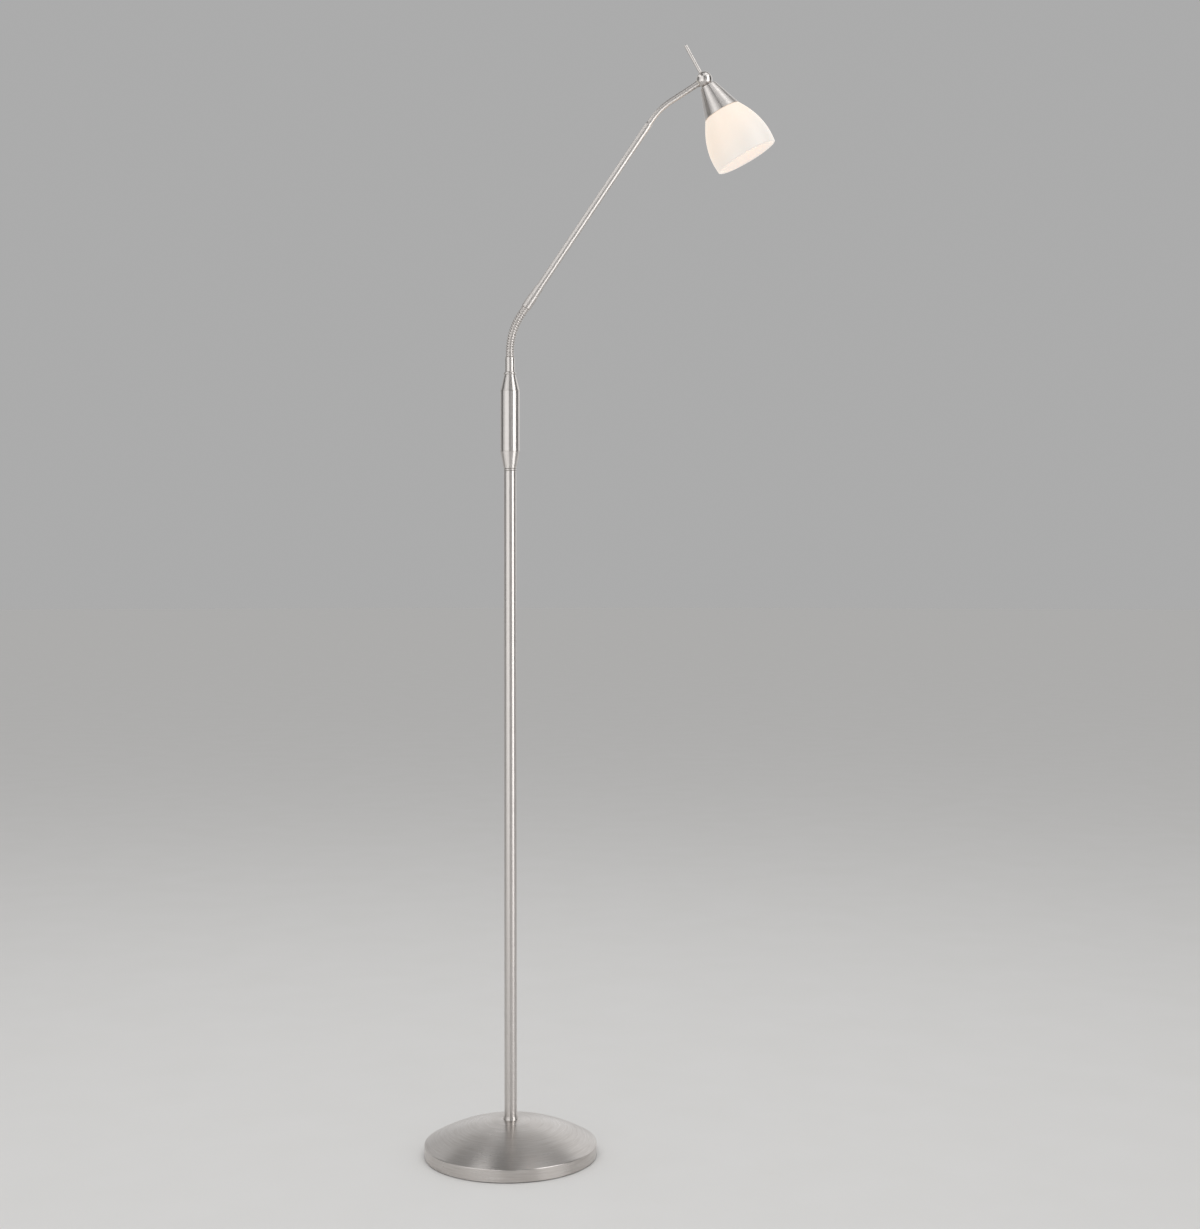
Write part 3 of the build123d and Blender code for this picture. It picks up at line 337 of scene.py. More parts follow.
@dataclass(frozen=True)
class Lay:
    """How a turned piece lies, which is the way that its brush marks run round it.

    Attributes:
        foot: A point of the axis that the piece was turned about.
        lean: The axis's angle from the vertical towards +X, in degrees.
        lean_above: The angle above a bend, where the piece has one.
        bend: Levels between which the angle changes.
    """

    foot: Triple = (0.0, 0.0, 0.0)
    lean: float = 0.0
    lean_above: float | None = None
    bend: tuple[float, float] = (0.0, 1.0)

    def tangent(self, tree: bpy.types.NodeTree, place: bpy.types.NodeSocket) -> bpy.types.NodeSocket:
        """Adds the direction that highlights stretch in, across the brush marks.

        Args:
            tree: The material's tree.
            place: The object coordinates.

        Returns:
            The direction, in the world's frame.
        """
        if self.lean_above is None:
            along = add(tree, "ShaderNodeCombineXYZ", dict(zip("XYZ", leaning(self.lean))))
        else:
            level = add(tree, "ShaderNodeSeparateXYZ", {}, {0: place})
            angle = add(
                tree,
                "ShaderNodeMapRange",
                {
                    "From Min": self.bend[0],
                    "From Max": self.bend[1],
                    "To Min": math.radians(self.lean),
                    "To Max": math.radians(self.lean_above),
                },
                {"Value": level.outputs["Z"]},
            ).outputs[0]
            sine = add(tree, "ShaderNodeMath", {"operation": "SINE"}, {0: angle})
            cosine = add(tree, "ShaderNodeMath", {"operation": "COSINE"}, {0: angle})
            along = add(
                tree, "ShaderNodeCombineXYZ", {}, {"X": sine.outputs[0], "Z": cosine.outputs[0]}
            )
        turned = add(
            tree,
            "ShaderNodeVectorTransform",
            {"vector_type": "VECTOR", "convert_from": "OBJECT", "convert_to": "WORLD"},
            {0: along.outputs[0]},
        )
        return turned.outputs[0]

    def upright(
        self, tree: bpy.types.NodeTree, place: bpy.types.NodeSocket
    ) -> tuple[bpy.types.Node, bpy.types.NodeSocket]:
        """Adds coordinates of the piece as it stood upright in the lathe.

        Args:
            tree: The material's tree.
            place: The object coordinates.

        Returns:
            The node that gives the coordinates one by one, and the way out from the axis.
        """
        middle = self.lean if self.lean_above is None else (self.lean + self.lean_above) / 2
        stood = add(
            tree,
            "ShaderNodeMapping",
            {
                "vector_type": "TEXTURE",
                "Location": self.foot,
                "Rotation": (0.0, math.radians(middle), 0.0),
            },
            {"Vector": place},
        )
        parts = add(tree, "ShaderNodeSeparateXYZ", {}, {0: stood.outputs[0]})
        outward = add(
            tree, "ShaderNodeCombineXYZ", {}, {"X": parts.outputs["X"], "Y": parts.outputs["Y"]}
        )
        return parts, outward.outputs[0]

    def turned(self, tree: bpy.types.NodeTree, place: bpy.types.NodeSocket) -> bpy.types.NodeSocket:
        """Adds coordinates that follow the piece's outline, on a face of it as on its side.

        Args:
            tree: The material's tree.
            place: The object coordinates.

        Returns:
            Two directions across the axis, and the run along the piece's outline.
        """
        parts, outward = self.upright(tree, place)
        radius = add(tree, "ShaderNodeVectorMath", {"operation": "LENGTH"}, {0: outward})
        run = add(
            tree,
            "ShaderNodeMath",
            {"operation": "SUBTRACT"},
            {0: radius.outputs["Value"], 1: parts.outputs["Z"]},
        )
        followed = add(
            tree,
            "ShaderNodeCombineXYZ",
            {},
            {"X": parts.outputs["X"], "Y": parts.outputs["Y"], "Z": run.outputs[0]},
        )
        return followed.outputs[0]


@dataclass(frozen=True)
class Finish:
    """What every finish has: a name, its constants, and a pattern that colours and raises it.

    Attributes:
        name: Name of the material, for what the real one is.
        colour: Its colour, as sRGB hex.
        roughness: Its mean roughness.
        other: The colour that its pattern goes towards, as sRGB hex.
        swing: How far the pattern takes the roughness either way.
        depth: Height of the pattern.
        strength: How much of that height shows.
    """

    name: str
    colour: str
    roughness: float
    other: str = "#FFFFFF"
    swing: float = 0.05
    depth: float = 0.02 * MM
    strength: float = 0.5

    def start(
        self, **constants: float
    ) -> tuple[bpy.types.Material, bpy.types.NodeTree, bpy.types.Node]:
        """Starts the material.

        Args:
            constants: Values for the shader's sockets, with spaces written as underscores.

        Returns:
            The material, its tree and its shader node.
        """
        material = bpy.data.materials.new(self.name)
        material.use_nodes = True
        tree = material.node_tree
        shader = tree.nodes["Principled BSDF"]
        shader.inputs["Base Color"].default_value = linear(self.colour)
        shader.inputs["Roughness"].default_value = self.roughness
        for name, value in constants.items():
            shader.inputs[name.replace("_", " ")].default_value = value
        return material, tree, shader

    @staticmethod
    def place(tree: bpy.types.NodeTree) -> bpy.types.NodeSocket:
        """Adds the object coordinates, in metres."""
        return add(tree, "ShaderNodeTexCoord").outputs["Object"]

    def vary(
        self, tree: bpy.types.NodeTree, shader: bpy.types.Node, pattern: bpy.types.NodeSocket
    ) -> None:
        """Lets a pattern carry the colour towards the other one and swing the roughness.

        Args:
            tree: The material's tree.
            shader: Its shader node.
            pattern: The pattern, around one half.
        """
        colour = add(
            tree,
            "ShaderNodeMix",
            {"data_type": "RGBA", "A_Color": linear(self.colour), "B_Color": linear(self.other)},
            {"Factor_Float": pattern},
        )
        tree.links.new(pick(colour.outputs, "Result_Color"), shader.inputs["Base Color"])
        self.dull(tree, shader, pattern)

    def dull(
        self, tree: bpy.types.NodeTree, shader: bpy.types.Node, pattern: bpy.types.NodeSocket
    ) -> None:
        """Lets a pattern swing the roughness alone.

        Args:
            tree: The material's tree.
            shader: Its shader node.
            pattern: The pattern, around one half.
        """
        rough = add(
            tree,
            "ShaderNodeMapRange",
            {"To Min": self.roughness - self.swing, "To Max": self.roughness + self.swing},
            {"Value": pattern},
        )
        tree.links.new(rough.outputs[0], shader.inputs["Roughness"])

    def emboss(
        self, tree: bpy.types.NodeTree, shader: bpy.types.Node, height: bpy.types.NodeSocket
    ) -> None:
        """Lets a pattern stand out of the surface.

        Args:
            tree: The material's tree.
            shader: Its shader node.
            height: The pattern, from zero to one.
        """
        bump = add(
            tree,
            "ShaderNodeBump",
            {"Strength": self.strength, "Distance": self.depth},
            {"Height": height},
        )
        tree.links.new(bump.outputs[0], shader.inputs["Normal"])


@dataclass(frozen=True)
class BrushedNickel(Finish):
    """Satin nickel plate on turned steel, brushed with an abrasive pad while it spun.

    The marks run round each piece, so lights stretch into long soft streaks along it, with crisp
    dark bands between them. The depth is that of the fine marks as drawn, and the other colour is
    the one in the deeper marks.

    Attributes:
        lay: How the piece lies.
        stretch: How much longer than wide a highlight is.
        streak: Width of the broad marks. The pad's own grit leaves marks of 0.05 mm, which are
            too fine to show, so they are drawn this coarse.
        fine: Width of the fine marks, drawn coarser for the same reason.
        reach: How far a mark runs before it fades.
        blotch: Size of the faint blotches that the brushing hand leaves.
        soft: How soft the marks' colour is: half the band of the pattern that is spread out
            between the two colours.
    """

    colour: str = "#DAD6D3"
    roughness: float = 0.3
    other: str = "#C6C1BD"
    swing: float = 0.06
    depth: float = 0.012 * MM
    strength: float = 0.15
    lay: Lay = Lay()
    stretch: float = 0.78
    streak: float = 2.6 * MM
    fine: float = 0.55 * MM
    reach: float = 34 * MM
    blotch: float = 45.5 * MM
    soft: float = 0.5

    def make(self) -> bpy.types.Material:
        """Makes the material.

        Returns:
            The material.
        """
        material, tree, shader = self.start(Metallic=1.0, Anisotropic=self.stretch)
        place = self.place(tree)
        turned = self.lay.turned(tree, place)
        marks = []
        for width, detail in ((self.streak, 2.0), (self.fine, 3.0)):
            scaled = add(
                tree,
                "ShaderNodeVectorMath",
                {"operation": "MULTIPLY", 1: (1 / self.reach, 1 / self.reach, 1 / width)},
                {0: turned},
            )
            noise = add(
                tree,
                "ShaderNodeTexNoise",
                {"Scale": 1.0, "Detail": detail, "Roughness": 0.6},
                {"Vector": scaled.outputs[0]},
            )
            marks.append(noise.outputs[0])
        both = add(
            tree,
            "ShaderNodeMix",
            {"data_type": "FLOAT", "Factor_Float": 0.5},
            {"A_Float": marks[0], "B_Float": marks[1]},
        )
        blotches = add(
            tree, "ShaderNodeTexNoise", {"Scale": 1 / self.blotch, "Detail": 2.0}, {"Vector": place}
        )
        brushed = add(
            tree,
            "ShaderNodeMix",
            {"data_type": "FLOAT", "Factor_Float": 0.3},
            {"A_Float": pick(both.outputs, "Result_Float"), "B_Float": blotches.outputs[0]},
        )
        spread = add(
            tree,
            "ShaderNodeMapRange",
            {"From Min": 0.5 - self.soft, "From Max": 0.5 + self.soft},
            {"Value": pick(brushed.outputs, "Result_Float")},
        )
        self.vary(tree, shader, spread.outputs[0])
        self.emboss(tree, shader, marks[1])
        tree.links.new(self.lay.tangent(tree, place), shader.inputs["Tangent"])
        return material


@dataclass(frozen=True)
class Grained(Finish):
    """A surface whose grain is the same in every direction, such as moulded plastic or a casting.

    Attributes:
        grain: Size of a grain.
        cloud: Size of the wide, faint cloudiness under the grain.
        metallic: One for a metal.
        coat: Weight of a clear glaze on top.
        speck: Contrast of the grain. One half is soft, and near one it is in spots.
    """

    grain: float = 0.8 * MM
    cloud: float = 25 * MM
    metallic: float = 0.0
    coat: float = 0.0
    speck: float = 0.5

    def make(self) -> bpy.types.Material:
        """Makes the material.

        Returns:
            The material.
        """
        material, tree, shader = self.start(Metallic=self.metallic, Coat_Weight=self.coat)
        place = self.place(tree)
        grain = add(
            tree,
            "ShaderNodeTexNoise",
            {"Scale": 1 / self.grain, "Detail": 4.0, "Roughness": self.speck},
            {"Vector": place},
        )
        clouds = add(
            tree, "ShaderNodeTexNoise", {"Scale": 1 / self.cloud, "Detail": 2.0}, {"Vector": place}
        )
        both = add(
            tree,
            "ShaderNodeMix",
            {"data_type": "FLOAT", "Factor_Float": 0.4},
            {"A_Float": grain.outputs[0], "B_Float": clouds.outputs[0]},
        )
        self.vary(tree, shader, pick(both.outputs, "Result_Float"))
        self.emboss(tree, shader, grain.outputs[0])
        return material


@dataclass(frozen=True)
class Felt(Finish):
    """Pressed wool felt: a dull, furry grey with lighter and darker fibres lying every way.

    The other colour is that of the light fibres.

    Attributes:
        fibre: Length of a fibre.
        width: Width of a fibre, which is drawn at eight times the real 0.03 mm to show.
        turns: Ways that the fibres lie, in radians.
    """

    other: str = "#8C8A88"
    swing: float = 0.03
    depth: float = 0.3 * MM
    strength: float = 0.8
    fibre: float = 3.0 * MM
    width: float = 0.25 * MM
    turns: Triple = (0.2, 1.3, 2.3)

    def make(self) -> bpy.types.Material:
        """Makes the material.

        Returns:
            The material.
        """
        material, tree, shader = self.start(
            Sheen_Weight=0.5, Sheen_Roughness=0.6, Specular_IOR_Level=0.1
        )
        place = self.place(tree)
        highest = None
        for turn in self.turns:
            lain = add(
                tree,
                "ShaderNodeMapping",
                {
                    "vector_type": "TEXTURE",
                    "Rotation": (0.0, 0.0, turn),
                    "Scale": (self.fibre, self.width, self.width),
                },
                {"Vector": place},
            )
            fibres = add(
                tree,
                "ShaderNodeTexNoise",
                {"Scale": 1.0, "Detail": 2.0, "Distortion": 0.8},
                {"Vector": lain.outputs[0]},
            ).outputs[0]
            if highest is None:
                highest = fibres
                continue
            higher = add(
                tree, "ShaderNodeMath", {"operation": "MAXIMUM"}, {0: highest, 1: fibres}
            )
            highest = higher.outputs[0]
        self.vary(tree, shader, highest)
        self.emboss(tree, shader, highest)
        return material


@dataclass(frozen=True)
class OpalGlass(Finish):
    """Blown opal glass, lit from inside: it glows evenly, warm by the cup and whiter at its mouth.

    Attributes:
        lay: The head's axis.
        warm: Glow near the cup.
        pale: Glow near the mouth.
        inside: Glow of the wall seen through the mouth.
        glow: Strength of the glow.
        span: Where the glow starts and ends along the axis.
        drift: How much of the glow's change goes across the axis, towards the lower side.
        swirl: Size of the swirls in the glass.
        stir: How far the swirls move the glow's change.
        wall: How far a face must look out from the axis, or in, for the glow to be all that of
            its side.
    """

    lay: Lay = Lay()
    warm: str = "#FCEBDA"
    pale: str = "#EFE9E2"
    inside: str = "#F3E9E1"
    glow: float = 0.77
    span: tuple[float, float] = (60 * MM, 120 * MM)
    drift: float = 0.5
    swirl: float = 38.5 * MM
    stir: float = 6 * MM
    wall: float = 4 * MM

    def outside(
        self, tree: bpy.types.NodeTree, parts: bpy.types.Node, swirls: bpy.types.NodeSocket
    ) -> bpy.types.NodeSocket:
        """Adds the glow of the outer face, which changes from the cup to the mouth.

        Args:
            tree: The material's tree.
            parts: The node that gives the place along and across the axis.
            swirls: The swirls in the glass.

        Returns:
            The colour.
        """
        slanted = add(
            tree,
            "ShaderNodeMath",
            {"operation": "MULTIPLY_ADD", 1: -self.drift},
            {0: parts.outputs["X"], 2: parts.outputs["Z"]},
        )
        stirred = add(
            tree,
            "ShaderNodeMath",
            {"operation": "MULTIPLY_ADD", 1: self.stir},
            {0: swirls, 2: slanted.outputs[0]},
        )
        down = add(
            tree,
            "ShaderNodeMapRange",
            {"interpolation_type": "SMOOTHSTEP", "From Min": self.span[0], "From Max": self.span[1]},
            {"Value": stirred.outputs[0]},
        )
        colour = add(
            tree,
            "ShaderNodeMix",
            {"data_type": "RGBA", "A_Color": linear(self.warm), "B_Color": linear(self.pale)},
            {"Factor_Float": down.outputs[0]},
        )
        return pick(colour.outputs, "Result_Color")

    def within(
        self, tree: bpy.types.NodeTree, outward: bpy.types.NodeSocket
    ) -> bpy.types.NodeSocket:
        """Adds how much a face looks at the axis, which tells the inner wall from the outer one.

        Args:
            tree: The material's tree.
            outward: The way out from the axis.

        Returns:
            One on the inner wall, and zero on the outer one.
        """
        facing = add(
            tree,
            "ShaderNodeMapping",
            {"vector_type": "TEXTURE", "Rotation": (0.0, math.radians(self.lay.lean), 0.0)},
            {"Vector": add(tree, "ShaderNodeTexCoord").outputs["Normal"]},
        )
        turned_out = add(
            tree,
            "ShaderNodeVectorMath",
            {"operation": "DOT_PRODUCT"},
            {0: outward, 1: facing.outputs[0]},
        )
        return add(
            tree,
            "ShaderNodeMapRange",
            {"From Min": self.wall, "From Max": -self.wall},
            {"Value": turned_out.outputs["Value"]},
        ).outputs[0]

    def make(self) -> bpy.types.Material:
        """Makes the material.

        Returns:
            The material.
        """
        material, tree, shader = self.start(
            Emission_Strength=self.glow, Subsurface_Weight=0.25, Subsurface_Scale=4 * MM
        )
        place = self.place(tree)
        parts, outward = self.lay.upright(tree, place)
        swirls = add(
            tree, "ShaderNodeTexNoise", {"Scale": 1 / self.swirl, "Detail": 2.0}, {"Vector": place}
        ).outputs[0]
        glow = add(
            tree,
            "ShaderNodeMix",
            {"data_type": "RGBA", "B_Color": linear(self.inside)},
            {
                "Factor_Float": self.within(tree, outward),
                "A_Color": self.outside(tree, parts, swirls),
            },
        )
        tree.links.new(pick(glow.outputs, "Result_Color"), shader.inputs["Emission Color"])
        self.dull(tree, shader, swirls)
        return material


@dataclass(frozen=True)
class LampGlass(Finish):
    """Frosted quartz of a capsule bulb that is on: bright and warm, with a fine etched skin.

    Attributes:
        glow: Strength of the glow.
        frost: Size of the etched grain, drawn coarser than the real 0.02 mm, which is too fine.
    """

    swing: float = 0.08
    strength: float = 0.4
    glow: float = 1.6
    frost: float = 0.5 * MM

    def make(self) -> bpy.types.Material:
        """Makes the material.

        Returns:
            The material.
        """
        material, tree, shader = self.start(
            Transmission_Weight=0.85, IOR=1.46, Emission_Strength=self.glow
        )
        shader.inputs["Emission Color"].default_value = linear(self.colour)
        frost = add(
            tree,
            "ShaderNodeTexNoise",
            {"Scale": 1 / self.frost, "Detail": 2.0},
            {"Vector": self.place(tree)},
        )
        self.vary(tree, shader, frost.outputs[0])
        self.emboss(tree, shader, frost.outputs[0])
        return material


@dataclass(frozen=True)
class GlowingWire(Finish):
    """Tungsten filament at work: a white-hot coil, a little cooler between its turns.

    Attributes:
        cool: Colour of the cooler stretches.
        glow: Strength of the glow.
        stretch: Length of a cooler stretch.
    """

    cool: str = "#FFB066"
    glow: float = 9.0
    stretch: float = 1.1 * MM

    def make(self) -> bpy.types.Material:
        """Makes the material.

        Returns:
            The material.
        """
        material, tree, shader = self.start(Metallic=1.0, Emission_Strength=self.glow)
        heat = add(
            tree,
            "ShaderNodeTexNoise",
            {"Scale": 1 / self.stretch, "Detail": 1.0},
            {"Vector": self.place(tree)},
        )
        colour = add(
            tree,
            "ShaderNodeMix",
            {"data_type": "RGBA", "A_Color": linear(self.cool), "B_Color": linear(self.colour)},
            {"Factor_Float": heat.outputs[0]},
        )
        tree.links.new(pick(colour.outputs, "Result_Color"), shader.inputs["Emission Color"])
        return material


@dataclass(frozen=True)
class Board(Finish):
    """Glass-fibre circuit board: green lacquer, with paler tracks under it.

    The other colour is that of the tracks.

    Attributes:
        pitch: Distance between tracks.
        width: Width of a track.
    """

    other: str = "#3E8A55"
    depth: float = 0.03 * MM
    pitch: float = 2.0 * MM
    width: float = 0.24 * MM

    def make(self) -> bpy.types.Material:
        """Makes the material.

        Returns:
            The material.
        """
        material, tree, shader = self.start(Coat_Weight=0.4)
        black, white = linear("#000000"), linear("#FFFFFF")
        tracks = add(
            tree,
            "ShaderNodeTexBrick",
            {
                "Scale": 1 / self.pitch,
                "Mortar Size": self.width / self.pitch,
                "Color1": black,
                "Color2": black,
                "Mortar": white,
            },
            {"Vector": self.place(tree)},
        )
        self.vary(tree, shader, tracks.outputs["Fac"])
        self.emboss(tree, shader, tracks.outputs["Fac"])
        return material


class Metal(Enum):
    """The brushed pieces, by how they lie and how they are brushed."""

    UPRIGHT = "upright"
    FOOT = "foot"
    NECK = "neck"
    SLANTED = "slanted"
    BENT = "bent"
    SWIVEL = "swivel"
    HEAD = "head"
    HANDLE = "handle"
    BALL = "ball"


@dataclass
class Palette:
    """Every material of the lamp, made once.

    Attributes:
        neck_lean: Lean of the neck at its foot and at its top, in degrees.
        neck_bend: Levels of the neck's foot and top.
        arm_foot: A point of the arm's axis, near its lower end.
        arm_lean: Lean of the arm, in degrees.
        end_foot: Where the bent tube starts to turn.
        end_lean: Lean of the arm's end, in degrees.
        end_bend: Levels between which the bent tube turns.
        head_lean: Lean of the head's axis, in degrees.
        ball: Centre of the ball.
        nickel: The brushed nickel of each kind of piece.
        other: The other finishes, by name.
    """

    neck_lean: tuple[float, float]
    neck_bend: tuple[float, float]
    arm_foot: Triple
    arm_lean: float
    end_foot: Triple
    end_lean: float
    end_bend: tuple[float, float]
    head_lean: float
    ball: Triple
    nickel: dict[Metal, bpy.types.Material] = field(default_factory=dict)
    other: dict[str, bpy.types.Material] = field(default_factory=dict)

    def lays(self) -> dict[Metal, Lay]:
        """Gives the way that each kind of brushed piece lies.

        Returns:
            How it lies, by the kind of piece.
        """
        foot, top = self.neck_lean
        head = Lay(self.ball, self.head_lean)
        return {
            Metal.UPRIGHT: Lay(),
            Metal.FOOT: Lay(),
            Metal.NECK: Lay(lean=foot, lean_above=top, bend=self.neck_bend),
            Metal.SLANTED: Lay(self.arm_foot, self.arm_lean),
            Metal.BENT: Lay(self.end_foot, self.arm_lean, self.end_lean, self.end_bend),
            Metal.SWIVEL: Lay(self.ball, self.end_lean),
            Metal.HEAD: head,
            Metal.HANDLE: head,
            Metal.BALL: head,
        }

    def make(self) -> None:
        """Makes the brushed metals and the other finishes."""
        # Slender pieces are brushed lightly, the ribs are only tumbled, and the ball is polished.
        faint = 0.004 * MM
        slender = {"depth": faint, "roughness": 0.34, "stretch": 0.6}
        brushing = {
            Metal.FOOT: {"soft": 0.2, "other": "#BCB6B1", "depth": 0.008 * MM, "fine": 0.8 * MM},
            Metal.NECK: {"depth": faint, "roughness": 0.34, "stretch": 0.5},
            Metal.SLANTED: slender,
            Metal.BENT: slender,
            Metal.HANDLE: {**slender, "fine": 2.2 * MM, "streak": 5.0 * MM, "soft": 1.0},
            Metal.HEAD: {"soft": 0.3},
            Metal.BALL: {"depth": faint, "roughness": 0.22, "stretch": 0.5},
        }
        lays = self.lays()
        for metal, lay in lays.items():
            name = f"brushed_nickel_{metal.value}"
            self.nickel[metal] = BrushedNickel(name, lay=lay, **brushing.get(metal, {})).make()
        for finish in (
            Grained("cast_iron_painted", "#2E2D2C", 0.62, other="#4A4643", grain=1.6 * MM,
                    depth=0.25 * MM, metallic=0.3),
            Grained("zinc_plated_steel", "#B9BCC0", 0.34, other="#8E9196", grain=3.5 * MM,
                    depth=0.01 * MM, metallic=1.0, swing=0.12),
            Grained("turned_brass", "#C9A24E", 0.28, other="#A67F35", grain=0.6 * MM, metallic=1.0),
            Grained("moulded_nylon_white", "#E9E7E1", 0.42, other="#DAD7CF"),
            Grained("moulded_rubber_black", "#1C1C1D", 0.55, other="#2B2B2C"),
            Grained("nylon_washer", "#E6E0CF", 0.36, other="#D8D1BD"),
            Grained("soft_pvc_sheath", "#26262A", 0.5, other="#313136", grain=1.2 * MM),
            Grained("epoxy_component", "#22252B", 0.45, other="#363A42"),
            Grained("glazed_steatite", "#EDE6D8", 0.3, other="#DCD2BF", grain=1.1 * MM, coat=0.5,
                    speck=0.8),
            Board("circuit_board_lacquer", "#1F5A36", 0.4),
            Felt("pressed_wool_felt", "#5B5958", 0.95),
            LampGlass("frosted_quartz_lit", "#FFDDB0", 0.35),
            GlowingWire("tungsten_filament_lit", "#FFE9C4", 0.5),
            OpalGlass("opal_glass_lit", "#8A8580", 0.42, lay=lays[Metal.HEAD]),
        ):
            self.other[finish.name] = finish.make()


def dress(material: bpy.types.Material, *names: str) -> None:
    """Gives CAD nodes a better material in the slots that they have.

    Args:
        material: The material.
        names: Names of the nodes.
    """
    for name in names:
        for slot in frame["nodes"][name].material_slots:
            slot.material = material
        log.info("%s wears %s", name, material.name)


# ---- sub-assemblies ---------------------------------------------------------------------------------


@dataclass
class Foot:
    """Domed cover with its weight, plate and felt.

    Attributes:
        palette: The lamp's materials.
    """

    palette: Palette

    def build(self) -> None:
        """Dresses the foot's nodes."""
        other = self.palette.other
        dress(self.palette.nickel[Metal.FOOT], "foot_cover", "foot_collar")
        dress(other["cast_iron_painted"], "cast_weight")
        dress(
            other["zinc_plated_steel"],
            "bottom_plate",
            "plate_screws",
            "foot_stud",
            "stud_nut",
            "stud_washer",
            "clamp_screws",
        )
        dress(other["pressed_wool_felt"], "felt_pad")
        dress(other["moulded_rubber_black"], "cord_bush")
        dress(other["moulded_nylon_white"], "cord_clamp", "terminal_block")


@dataclass
class Pole:
    """Straight tube from the foot to the grip, and the grip with the touch dimmer inside.

    Attributes:
        palette: The lamp's materials.
    """

    palette: Palette

    def build(self) -> None:
        """Dresses the pole's and the grip's nodes."""
        other = self.palette.other
        dress(
            self.palette.nickel[Metal.UPRIGHT],
            "pole_tube",
            "grip_rings",
            "grip_lower_cone",
            "grip_sleeve",
            "grip_upper_cone",
            "neck_lower_ferrule",
        )
        dress(other["zinc_plated_steel"], "pole_bushes", "grip_stud")
        dress(other["soft_pvc_sheath"], "lead_in_pole")
        dress(other["moulded_nylon_white"], "dimmer_discs")
        dress(other["circuit_board_lacquer"], "dimmer_board")
        dress(other["epoxy_component"], "dimmer_parts")
        dress(other["turned_brass"], "neck_nipple")


@dataclass(frozen=True)
class RibRun:
    """One run of ribs: a link of the neck, or one of its two ends.

    Attributes:
        node: The CAD node that it stands for.
        body: The body that it rides.
        core: Outline of what the ribs stand on, as radius and height.
        ribs: Number of ribs.
        foot: Place of its lower end.
        lean: Its angle from the vertical towards +X, in degrees.
    """

    node: str
    body: str
    core: list[tuple[float, float]]
    ribs: int
    foot: Vector
    lean: float


